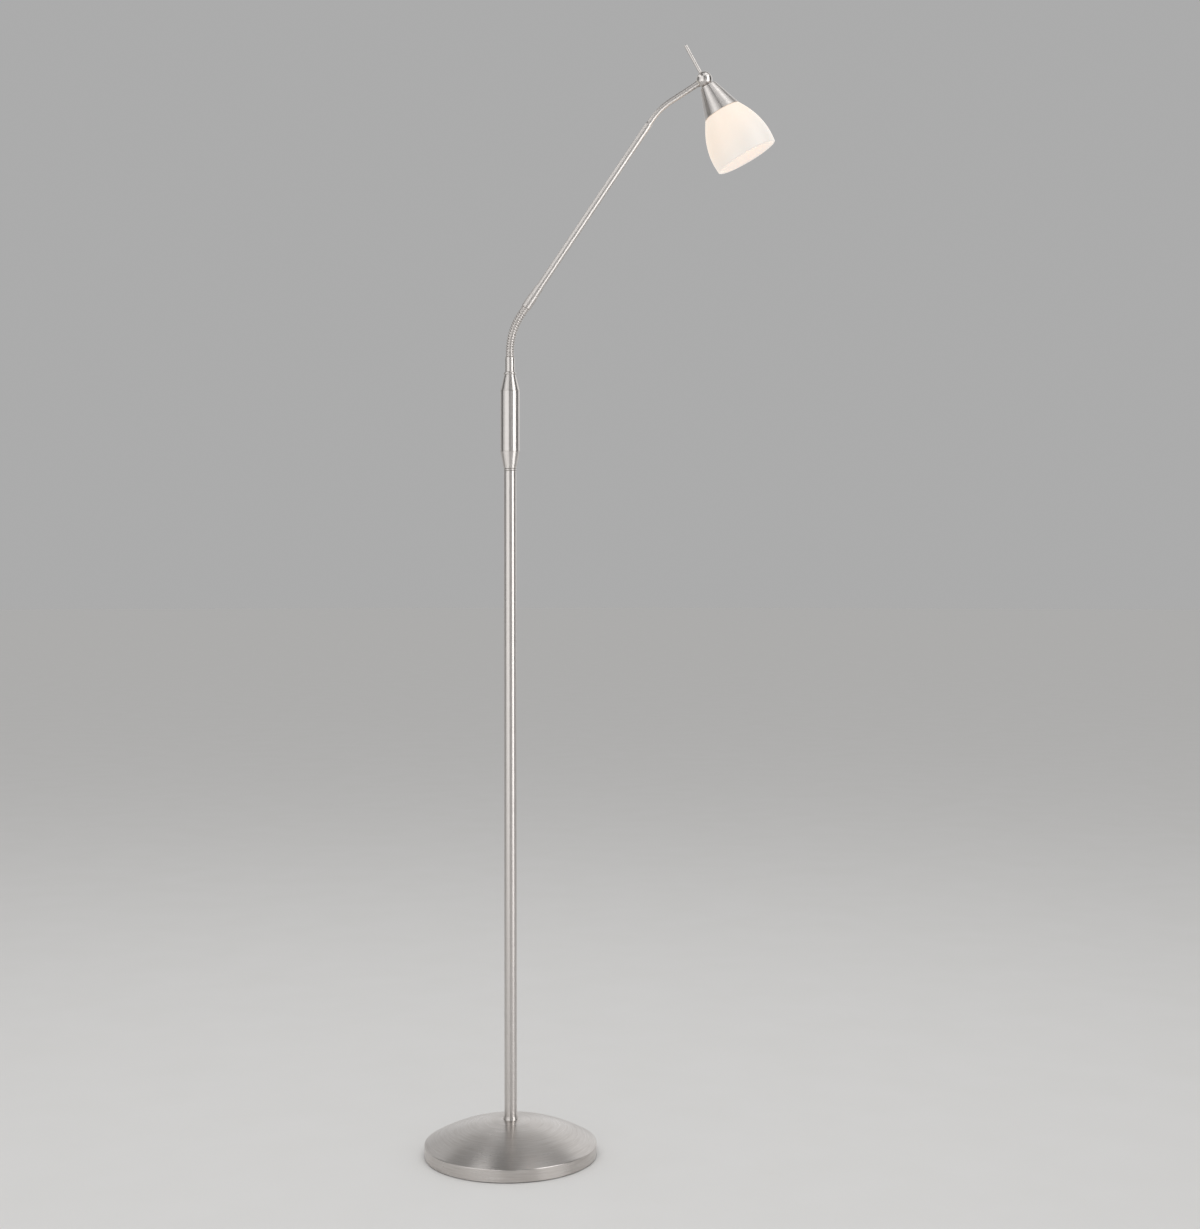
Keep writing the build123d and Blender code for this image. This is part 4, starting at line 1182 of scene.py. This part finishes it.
@dataclass
class Neck:
    """Ribbed gooseneck: round wire ribs, one on each link, on a core with a ball and a socket.

    Attributes:
        palette: The lamp's materials.
        pitch: Distance between ribs.
        crest: Radius of a rib's crest.
        valley: Radius of the core between ribs.
        groove: Width of the gap between ribs.
        bore: Radius of the bore for the lead.
        ball: Radius of the ball under each link.
        ball_gap: Play between a ball and its socket.
        lip: How far a ball reaches below its centre.
        socket: How deep a socket is.
        tail_length: Length of the tails that the ferrules hold.
        tail_radius: Radius of the tails.
        end_ribs: Number of ribs on either end.
        around: Faces around a rib.
        section: Faces around a rib's own section.
    """

    palette: Palette
    pitch: float = 3.2 * MM
    crest: float = 5.6 * MM
    valley: float = 4.75 * MM
    groove: float = 0.9 * MM
    bore: float = 3.3 * MM
    ball: float = 4.3 * MM
    ball_gap: float = 0.12 * MM
    lip: float = 1.0 * MM
    socket: float = 1.8 * MM
    tail_length: float = 8.0 * MM
    tail_radius: float = 4.6 * MM
    end_ribs: int = 3
    around: int = 72
    section: int = 20

    def wire(self) -> float:
        """Works out the radius of the round wire whose arc joins valley, crest and valley.

        Returns:
            The radius.
        """
        half = (self.pitch - self.groove) / 2
        rise = self.crest - self.valley
        return (half**2 + rise**2) / (2 * rise)

    def rib_tree(self) -> bpy.types.GeometryNodeTree:
        """Makes the tree that sets a run of ribs on a core and puts both in place.

        Returns:
            The tree, with named inputs for its sizes.
        """
        inputs = {
            "Core": "Geometry",
            "Ribs": "Int",
            "Pitch": "Float",
            "Rib radius": "Float",
            "Wire radius": "Float",
            "Around": "Int",
            "Section": "Int",
            "Foot": "Vector",
            "Lean": "Vector",
            "Finish": "Material",
        }
        tree, given = new_tree("rib_run", inputs)
        path = add(
            tree,
            "GeometryNodeCurvePrimitiveCircle",
            {},
            {"Resolution": given["Around"], "Radius": given["Rib radius"]},
        )
        wire = add(
            tree,
            "GeometryNodeCurvePrimitiveCircle",
            {},
            {"Resolution": given["Section"], "Radius": given["Wire radius"]},
        )
        rib = add(
            tree,
            "GeometryNodeCurveToMesh",
            {},
            {"Curve": path.outputs[0], "Profile Curve": wire.outputs[0]},
        )
        half = add(tree, "ShaderNodeMath", {"operation": "MULTIPLY", 1: 0.5}, {0: given["Pitch"]})
        first = add(tree, "ShaderNodeCombineXYZ", {}, {"Z": half.outputs[0]})
        step = add(tree, "ShaderNodeCombineXYZ", {}, {"Z": given["Pitch"]})
        places = add(
            tree,
            "GeometryNodeMeshLine",
            {"mode": "OFFSET"},
            {"Count": given["Ribs"], "Start Location": first.outputs[0], "Offset": step.outputs[0]},
        )
        ribs = add(
            tree,
            "GeometryNodeInstanceOnPoints",
            {},
            {"Points": places.outputs[0], "Instance": rib.outputs[0]},
        )
        whole = add(tree, "GeometryNodeJoinGeometry", {}, {0: ribs.outputs[0]})
        tree.links.new(given["Core"], whole.inputs[0])
        placed = add(
            tree,
            "GeometryNodeTransform",
            {},
            {0: whole.outputs[0], "Translation": given["Foot"], "Rotation": given["Lean"]},
        )
        end_tree(tree, placed.outputs[0], given["Finish"])
        return tree

    def ball_arc(self) -> list[tuple[float, float]]:
        """Gives the outline of a ball, from its foot to the groove above it.

        Returns:
            Radius and height of each point.
        """
        first = math.degrees(math.asin(-self.lip / self.ball))
        last = math.degrees(math.asin(self.groove / 2 / self.ball))
        return arc_points((0.0, 0.0), self.ball, first, last, count=9)

    def socket_arc(self, centre: float) -> list[tuple[float, float]]:
        """Gives the outline of a socket, from its mouth down to its floor.

        Args:
            centre: Height of the joint that the socket is round.

        Returns:
            Radius and height of each point.
        """
        radius = self.ball + self.ball_gap
        first = math.degrees(math.asin(-self.groove / 2 / radius))
        last = math.degrees(math.asin(-self.socket / radius))
        return arc_points((0.0, centre), radius, first, last, count=7)

    def link_core(self) -> list[tuple[float, float]]:
        """Gives the outline of a link's core.

        Returns:
            Radius and height of each point.
        """
        half = self.groove / 2
        return [
            (self.bore, -self.lip),
            *self.ball_arc(),
            (self.valley, half),
            (self.valley, self.pitch - half),
            *self.socket_arc(self.pitch),
            (self.bore, self.pitch - self.socket),
        ]

    def lower_core(self) -> list[tuple[float, float]]:
        """Gives the outline of the lower end's core, with its tail in the ferrule.

        Returns:
            Radius and height of each point.
        """
        top = self.end_ribs * self.pitch
        return [
            (self.bore, -self.tail_length),
            (self.tail_radius, -self.tail_length),
            (self.tail_radius, 0.0),
            (self.valley, 0.0),
            (self.valley, top - self.groove / 2),
            *self.socket_arc(top),
            (self.bore, top - self.socket),
        ]

    def upper_core(self) -> list[tuple[float, float]]:
        """Gives the outline of the upper end's core, with its tail in the ferrule.

        Returns:
            Radius and height of each point.
        """
        top = self.end_ribs * self.pitch
        return [
            (self.bore, -self.lip),
            *self.ball_arc(),
            (self.valley, self.groove / 2),
            (self.valley, top),
            (self.tail_radius, top),
            (self.tail_radius, top + self.tail_length),
            (self.bore, top + self.tail_length),
        ]

    def runs(self) -> list[RibRun]:
        """Works out the neck's runs of ribs from its joints, from the grip up.

        Returns:
            The runs.
        """
        joints = [joint for joint in frame["joints"] if joint["name"].startswith("neck_")]
        feet = sorted((Vector(joint["pos_m"]) for joint in joints), key=lambda foot: foot.z)
        rooted = Vector((0.0, 0.0, feet[0].z - self.end_ribs * self.pitch))
        runs = [RibRun("neck_lower_end", "stand", self.lower_core(), self.end_ribs, rooted, 0.0)]
        for number, (low, high) in enumerate(zip(feet, feet[1:]), 1):
            lean = math.degrees(math.atan2(high.x - low.x, high.z - low.z))
            node, body = f"neck_link_{number:02d}", f"link_{number:02d}"
            runs.append(RibRun(node, body, self.link_core(), 1, low, lean))
        lean = self.palette.arm_lean
        runs.append(
            RibRun("neck_upper_end", "arm", self.upper_core(), self.end_ribs, feet[-1], lean)
        )
        return runs

    def make(self, tree: bpy.types.GeometryNodeTree, run: RibRun) -> bpy.types.Object:
        """Makes one run of ribs as a plain mesh.

        Args:
            tree: The tree that sets the ribs.
            run: The run.

        Returns:
            The finished piece.
        """
        name = run.node.replace("neck_", "rib_run_")
        wire = self.wire()
        values = {
            "Ribs": run.ribs,
            "Pitch": self.pitch,
            "Rib radius": self.crest - wire,
            "Wire radius": wire,
            "Around": self.around,
            "Section": self.section,
            "Foot": tuple(run.foot),
            "Lean": (0.0, math.radians(run.lean), 0.0),
            "Finish": self.palette.nickel[Metal.NECK],
        }
        mesh = grown(name, turned_mesh(f"{name}_core", run.core, self.around), tree, values)
        shape = bmesh.new()
        shape.from_mesh(mesh)
        bmesh.ops.recalc_face_normals(shape, faces=shape.faces)
        soften(shape)
        shape.to_mesh(mesh)
        shape.free()
        return new_piece(mesh)

    def build(self) -> None:
        """Makes the neck's ribs, one piece for each link and end."""
        tree = self.rib_tree()
        for run in self.runs():
            piece = self.make(tree, run)
            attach(piece, run.body)
            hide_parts(run.node)
            log.info("%s stands for %s", piece.name, run.node)


@dataclass
class Arm:
    """Upper ferrule, slanted tube, reducer, bent tube and swivel.

    Attributes:
        palette: The lamp's materials.
    """

    palette: Palette

    def build(self) -> None:
        """Dresses the arm's nodes."""
        nickel = self.palette.nickel
        dress(nickel[Metal.SLANTED], "neck_upper_ferrule", "arm_tube", "arm_reducer")
        dress(nickel[Metal.BENT], "arm_bent_tube")
        dress(nickel[Metal.SWIVEL], "swivel_pin")
        dress(self.palette.other["nylon_washer"], "friction_washer")


@dataclass
class Head:
    """Ball, handle, cup, lamp holder with its bulb, and the opal glass.

    Attributes:
        palette: The lamp's materials.
        bulb_top: Distance of the bulb's pinched foot from the ball's centre, along the axis.
        pinch_length: Length of the pinched foot.
        pinch_radius: Radius of the pinched foot.
        pinch_bevel: Bevel at its upper edge.
        shoulder: Length of the bulb's shoulder.
        radius: Radius of the bulb.
        length: Length of the bulb below its pinched foot.
        wall: Thickness of its glass.
        pin_diameter: Diameter of its pins.
        pin_spacing: Distance between the pins.
        pin_length: How far the pins stand out.
        pin_root: How far the pins reach into the glass.
        coil_radius: Radius of the filament's coil.
        coil_wire: Radius of its wire.
        coil_turns: Number of its turns.
        coil_length: Length of the coil.
        coil_gap: Distance of the coil from the bulb's shoulder.
        around: Faces around the bulb.
        pin_around: Faces around a pin.
    """

    palette: Palette
    bulb_top: float = 43.585 * MM
    pinch_length: float = 6.0 * MM
    pinch_radius: float = 4.4 * MM
    pinch_bevel: float = 0.5 * MM
    shoulder: float = 3.0 * MM
    radius: float = 6.5 * MM
    length: float = 38.0 * MM
    wall: float = 0.9 * MM
    pin_diameter: float = 1.6 * MM
    pin_spacing: float = 5.6 * MM
    pin_length: float = 8.0 * MM
    pin_root: float = 2.0 * MM
    coil_radius: float = 1.1 * MM
    coil_wire: float = 0.14 * MM
    coil_turns: float = 11.0
    coil_length: float = 15 * MM
    coil_gap: float = 6 * MM
    around: int = 56
    pin_around: int = 20

    def axis(self) -> Matrix:
        """Gives the place of the head's axis, with Z along it from the ball's centre."""
        turn = Matrix.Rotation(math.radians(self.palette.head_lean), 4, "Y")
        return Matrix.Translation(self.palette.ball) @ turn

    def bulb_side(self, inset: float) -> list[tuple[float, float]]:
        """Gives the bulb's outline below its pinched foot.

        Args:
            inset: How far inside the glass's outer face it runs.

        Returns:
            Radius and distance from the ball's centre, from the shoulder to the tip.
        """
        start = self.bulb_top + self.pinch_length
        tip = start + self.length
        radius = self.radius - inset
        cap = arc_points((0.0, tip - self.radius), radius, first=0.0, last=90.0, count=12)[:-1]
        return [
            (self.pinch_radius - inset, start + inset / 2),
            (radius, start + self.shoulder + inset / 2),
            *cap,
            (0.0, tip - inset),
        ]

    def envelope(self) -> bpy.types.Object:
        """Makes the bulb's glass, a hollow capsule on a solid pinched foot.

        Returns:
            The glass.
        """
        outline = [
            (0.0, self.bulb_top),
            (self.pinch_radius - self.pinch_bevel, self.bulb_top),
            (self.pinch_radius, self.bulb_top + self.pinch_bevel),
            *self.bulb_side(0.0),
        ]
        outer = turned_mesh("bulb_outer", outline, self.around, self.axis(), closed=False)
        floor = (0.0, self.bulb_top + self.pinch_length + self.wall)
        hollow = [floor, *self.bulb_side(self.wall)]
        inner = turned_mesh("bulb_inner", hollow, self.around, self.axis(), closed=False)
        inner.flip_normals()
        mesh = joined("bulb_envelope", [outer, inner])
        return new_piece(mesh, self.palette.other["frosted_quartz_lit"])

    def coil_tree(self) -> bpy.types.GeometryNodeTree:
        """Makes the tree that winds the filament from a spiral and a round wire.

        Returns:
            The tree, with named inputs for its sizes.
        """
        inputs = {
            "Turns": "Float",
            "Coil radius": "Float",
            "Length": "Float",
            "Wire radius": "Float",
            "Finish": "Material",
        }
        tree, given = new_tree("filament_coil", inputs)
        spiral = add(
            tree,
            "GeometryNodeCurveSpiral",
            {"Resolution": 16},
            {
                "Rotations": given["Turns"],
                "Start Radius": given["Coil radius"],
                "End Radius": given["Coil radius"],
                "Height": given["Length"],
            },
        )
        wire = add(
            tree,
            "GeometryNodeCurvePrimitiveCircle",
            {"Resolution": 8},
            {"Radius": given["Wire radius"]},
        )
        coil = add(
            tree,
            "GeometryNodeCurveToMesh",
            {"Fill Caps": True},
            {"Curve": spiral.outputs[0], "Profile Curve": wire.outputs[0]},
        )
        end_tree(tree, coil.outputs[0], given["Finish"])
        return tree

    def filament(self) -> bpy.types.Object:
        """Makes the coiled filament along the bulb's axis.

        Returns:
            The filament.
        """
        values = {
            "Turns": self.coil_turns,
            "Coil radius": self.coil_radius,
            "Length": self.coil_length,
            "Wire radius": self.coil_wire,
            "Finish": self.palette.other["tungsten_filament_lit"],
        }
        draft = bpy.data.meshes.new("coil_draft")
        mesh = grown("bulb_filament", draft, self.coil_tree(), values)
        start = self.bulb_top + self.pinch_length + self.shoulder + self.coil_gap
        mesh.transform(self.axis() @ Matrix.Translation((0.0, 0.0, start)))
        return new_piece(mesh)

    def legs(self) -> bpy.types.Object:
        """Makes the bulb's two pins, with bevelled tips.

        Returns:
            The pins.
        """
        radius = self.pin_diameter / 2
        tip, bevel = 0.6 * radius, 0.5 * radius
        low, high = self.bulb_top - self.pin_length, self.bulb_top + self.pin_root
        pin = [(0.0, low), (tip, low), (radius, low + bevel), (radius, high), (0.0, high)]
        meshes = []
        for side in (-1, 1):
            place = self.axis() @ Matrix.Translation((side * self.pin_spacing / 2, 0.0, 0.0))
            meshes.append(turned_mesh("pin", pin, self.pin_around, place, closed=False))
        return new_piece(joined("bulb_pins", meshes), self.palette.other["zinc_plated_steel"])

    def build(self) -> None:
        """Dresses the head's nodes and makes the bulb."""
        nickel, other = self.palette.nickel, self.palette.other
        dress(nickel[Metal.BALL], "swivel_ball")
        dress(nickel[Metal.HANDLE], "handle_rod")
        dress(nickel[Metal.HEAD], "head_cup")
        dress(other["zinc_plated_steel"], "swivel_screw", "head_nut", "lamp_carrier")
        dress(other["turned_brass"], "head_nipple")
        dress(other["moulded_nylon_white"], "clamp_rings")
        dress(other["glazed_steatite"], "lamp_holder")
        dress(other["opal_glass_lit"], "glass_shade")
        for piece, slot in (
            (self.envelope(), Slot.BULB),
            (self.filament(), Slot.BULB),
            (self.legs(), Slot.ZINC),
        ):
            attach(piece, "head")
            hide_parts("capsule_bulb")
            log.info("%s stands for capsule_bulb", piece.name)


# ---- studio -----------------------------------------------------------------------------------------


class Seen(Enum):
    """What a studio lamp reaches: the metal's reflections, or the light on matt surfaces."""

    METAL = "metal"
    MATT = "matt"


@dataclass(frozen=True)
class Softbox:
    """A large diffused lamp.

    Attributes:
        name: Name of the lamp.
        place: Its centre.
        aim: The point that it faces.
        size: Its width and height.
        bright: Its brightness, in watts per square metre of its face.
        seen: What it reaches.
    """

    name: str
    place: Triple
    aim: Triple
    size: tuple[float, float]
    bright: float
    seen: Seen = Seen.METAL

    def hang(self) -> None:
        """Puts the lamp in the scene, unseen by the camera itself."""
        light = bpy.data.lights.new(self.name, "AREA")
        light.shape = "RECTANGLE"
        light.size, light.size_y = self.size
        light.energy = self.bright * self.size[0] * self.size[1]
        lamp = bpy.data.objects.new(self.name, light)
        way = Vector(self.aim) - Vector(self.place)
        lamp.location = self.place
        lamp.rotation_euler = way.to_track_quat("-Z", "Y").to_euler()
        lamp.visible_camera = False
        lamp.visible_glossy = self.seen is Seen.METAL
        lamp.visible_diffuse = self.seen is Seen.MATT
        bpy.context.scene.collection.objects.link(lamp)


@dataclass(frozen=True)
class Sweep(Finish):
    """Matt pale paper on the studio's floor, with a barely visible mottle of the other colour.

    Attributes:
        mottle: Size of the mottle.
    """

    other: str = "#DEDDDB"
    mottle: float = 120 * MM

    def make(self) -> bpy.types.Material:
        """Makes the material.

        Returns:
            The material.
        """
        material, tree, shader = self.start(Specular_IOR_Level=0.0)
        clouds = add(
            tree,
            "ShaderNodeTexNoise",
            {"Scale": 1 / self.mottle, "Detail": 3.0},
            {"Vector": self.place(tree)},
        )
        self.vary(tree, shader, clouds.outputs[0])
        return material


@dataclass
class Studio:
    """Pale floor, soft lights, even surroundings and the camera of the photograph.

    Each band below is a range of one part of a direction of unit length: X to the right, Y away
    from the camera and Z up.

    Attributes:
        eye: Place of the camera.
        pitch: How far it looks down, in degrees.
        lens: Its focal length in millimetres.
        sensor: Its sensor's long side in millimetres.
        floor_radius: Radius of the floor.
        floor_depth: Thickness of the floor.
        seen: What the camera sees beyond the floor, matched to the far floor.
        fill: Even light on everything.
        mirrored: What the metal reflects between the softboxes.
        behind: How much brighter the room behind the lamp is, above the floor.
        behind_band: Band of Y in which the room behind begins.
        above_band: Band of Z in which the room behind ends.
        left: How much of the paler room behind is left at its left end.
        left_band: Band of X in which it fades to the left.
        flanks: How much darker the room is on either side.
        flank_band: Band of X, either way, in which the sides begin.
    """

    eye: Triple = (0.1143, -2.2885, 0.7408)
    pitch: float = 1.2175
    lens: float = 52.68
    sensor: float = 36.0
    floor_radius: float = 40.0
    floor_depth: float = 0.05
    seen: float = 0.41
    fill: float = 0.56
    mirrored: float = 0.26
    behind: float = 0.8
    behind_band: tuple[float, float] = (0.1, 0.6)
    above_band: tuple[float, float] = (0.5, 1.0)
    left: float = 0.5
    left_band: tuple[float, float] = (-0.4, 0.0)
    flanks: float = 0.7
    flank_band: tuple[float, float] = (0.7, 0.95)

    def floor(self) -> None:
        """Lays the floor."""
        radius, depth = self.floor_radius, self.floor_depth
        outline = [(0.0, 0.0), (radius, 0.0), (radius, -depth), (0.0, -depth)]
        mesh = turned_mesh("studio_floor", outline, around=96, closed=False)
        piece = new_piece(mesh, Sweep("matt_paper", "#E2E1E0", 0.8).make())
        log.info("%s laid", piece.name)

    def surroundings(self) -> None:
        """Makes the room: even for the eye, dark for what the metal mirrors."""
        world = bpy.data.worlds.new("studio")
        bpy.context.scene.world = world
        world.use_nodes = True
        tree = world.node_tree
        tree.nodes.clear()
        ray = add(tree, "ShaderNodeLightPath")
        seen, fill = (
            add(tree, "ShaderNodeBackground", {"Color": (level, level, level, 1.0)}).outputs[0]
            for level in (self.seen, self.fill)
        )
        lit = add(
            tree, "ShaderNodeMixShader", {}, {0: ray.outputs["Is Camera Ray"], 1: fill, 2: seen}
        )
        whole = add(
            tree,
            "ShaderNodeMixShader",
            {},
            {0: ray.outputs["Is Glossy Ray"], 1: lit.outputs[0], 2: self.reflections(tree)},
        )
        add(tree, "ShaderNodeOutputWorld", {}, {0: whole.outputs[0]})

    def reflections(self, tree: bpy.types.NodeTree) -> bpy.types.NodeSocket:
        """Adds what the metal mirrors: a mid-grey room, paler behind and darker at the sides.

        Args:
            tree: The world's tree.

        Returns:
            The shader's output.
        """
        direction = add(tree, "ShaderNodeTexCoord").outputs["Generated"]
        way = add(tree, "ShaderNodeSeparateXYZ", {}, {0: direction}).outputs
        side = add(tree, "ShaderNodeMath", {"operation": "ABSOLUTE"}, {0: way["X"]}).outputs[0]
        behind, above, left, flank = (
            add(
                tree,
                "ShaderNodeMapRange",
                {
                    "interpolation_type": "SMOOTHSTEP",
                    "From Min": band[0],
                    "From Max": band[1],
                    "To Min": first,
                    "To Max": last,
                },
                {"Value": part},
            ).outputs[0]
            for part, band, first, last in (
                (way["Y"], self.behind_band, 0.0, self.behind),
                (way["Z"], self.above_band, 1.0, 0.0),
                (way["X"], self.left_band, self.left, 1.0),
                (side, self.flank_band, 1.0, 1 - self.flanks),
            )
        )
        kept = add(tree, "ShaderNodeMath", {"operation": "MULTIPLY"}, {0: left, 1: above})
        pale = add(
            tree,
            "ShaderNodeMath",
            {"operation": "MULTIPLY_ADD", 2: self.mirrored},
            {0: behind, 1: kept.outputs[0]},
        )
        level = add(
            tree, "ShaderNodeMath", {"operation": "MULTIPLY"}, {0: pale.outputs[0], 1: flank}
        )
        return add(tree, "ShaderNodeBackground", {}, {"Strength": level.outputs[0]}).outputs[0]

    def lights(self) -> None:
        """Hangs the softboxes round the lamp."""
        waist, level, head = (0.0, 0.0, 0.9), (0.0, 0.0, 1.8), (0.25, 0.0, 1.33)
        for box in (
            Softbox("left_softbox", (-1.27, -1.8, 1.6), (0.0, 0.0, 1.6), (2.15, 3.2), 3.1),
            Softbox("left_wing_softbox", (-2.11, -0.61, 1.8), level, (0.95, 3.6), 1.9),
            Softbox("right_softbox", (1.99, -1.25, 1.8), level, (1.55, 3.6), 6.2),
            Softbox("strip_softbox", (0.72, -2.5, 1.8), level, (0.26, 3.6), 2.6),
            Softbox("head_softbox", (0.3, -0.26, 1.88), head, (0.46, 0.4), 2.6),
            Softbox("high_left_softbox", (-0.72, 0.0, 2.13), head, (1.1, 0.55), 2.8),
            Softbox("back_left_softbox", (-1.9, 1.6, 1.2), waist, (1.1, 2.2), 0.4),
            Softbox("back_right_softbox", (2.0, 1.5, 1.2), waist, (1.1, 2.2), 0.9),
            Softbox("top_right_softbox", (1.3, -0.2, 3.2), waist, (1.3, 1.8), 2.7),
            Softbox("top_softbox", (0.0, 0.5, 2.7), (0.0, 0.1, 0.0), (2.4, 1.8), 2.4, Seen.MATT),
            Softbox("front_softbox", (0.0, -1.6, 3.0), (0.0, -0.5, 0.0), (3.6, 2.2), 3.8, Seen.MATT),
        ):
            box.hang()
            log.info("%s hung", box.name)

    def camera(self) -> None:
        """Sets the camera up where the photograph was taken from."""
        data = bpy.data.cameras.new("photo_camera")
        data.lens = self.lens
        data.sensor_width = self.sensor
        data.sensor_fit = "AUTO"
        camera = bpy.data.objects.new("photo_camera", data)
        camera.location = self.eye
        camera.rotation_euler = (math.radians(90.0 - self.pitch), 0.0, 0.0)
        bpy.context.scene.collection.objects.link(camera)
        bpy.context.scene.camera = camera

    def build(self) -> None:
        """Sets the studio up."""
        self.camera()
        self.floor()
        self.surroundings()
        self.lights()
        bpy.context.scene.view_settings.view_transform = "Standard"


def main() -> None:
    """Builds the studio and the lamp's sub-assemblies in order."""
    logging.basicConfig(level=logging.INFO, format="%(name)s: %(message)s")
    joints = {joint["name"]: joint["pos_m"] for joint in frame["joints"]}
    Studio().build()
    end_bend = (1.3179, 1.3411)
    palette = Palette(
        neck_lean=(4.25, 34.0),
        neck_bend=(joints["neck_pitch_01"][2], joints["neck_sway_08"][2]),
        arm_foot=(0.0147, 0.0, 1.0732),
        arm_lean=34.0,
        end_foot=(0.1797, 0.0, end_bend[0]),
        end_lean=57.0,
        end_bend=end_bend,
        head_lean=151.1,
        ball=tuple(joints["head_swivel"]),
    )
    palette.make()
    for assembly in (Foot(palette), Pole(palette), Neck(palette), Arm(palette), Head(palette)):
        assembly.build()


if __name__ == "__main__":
    main()
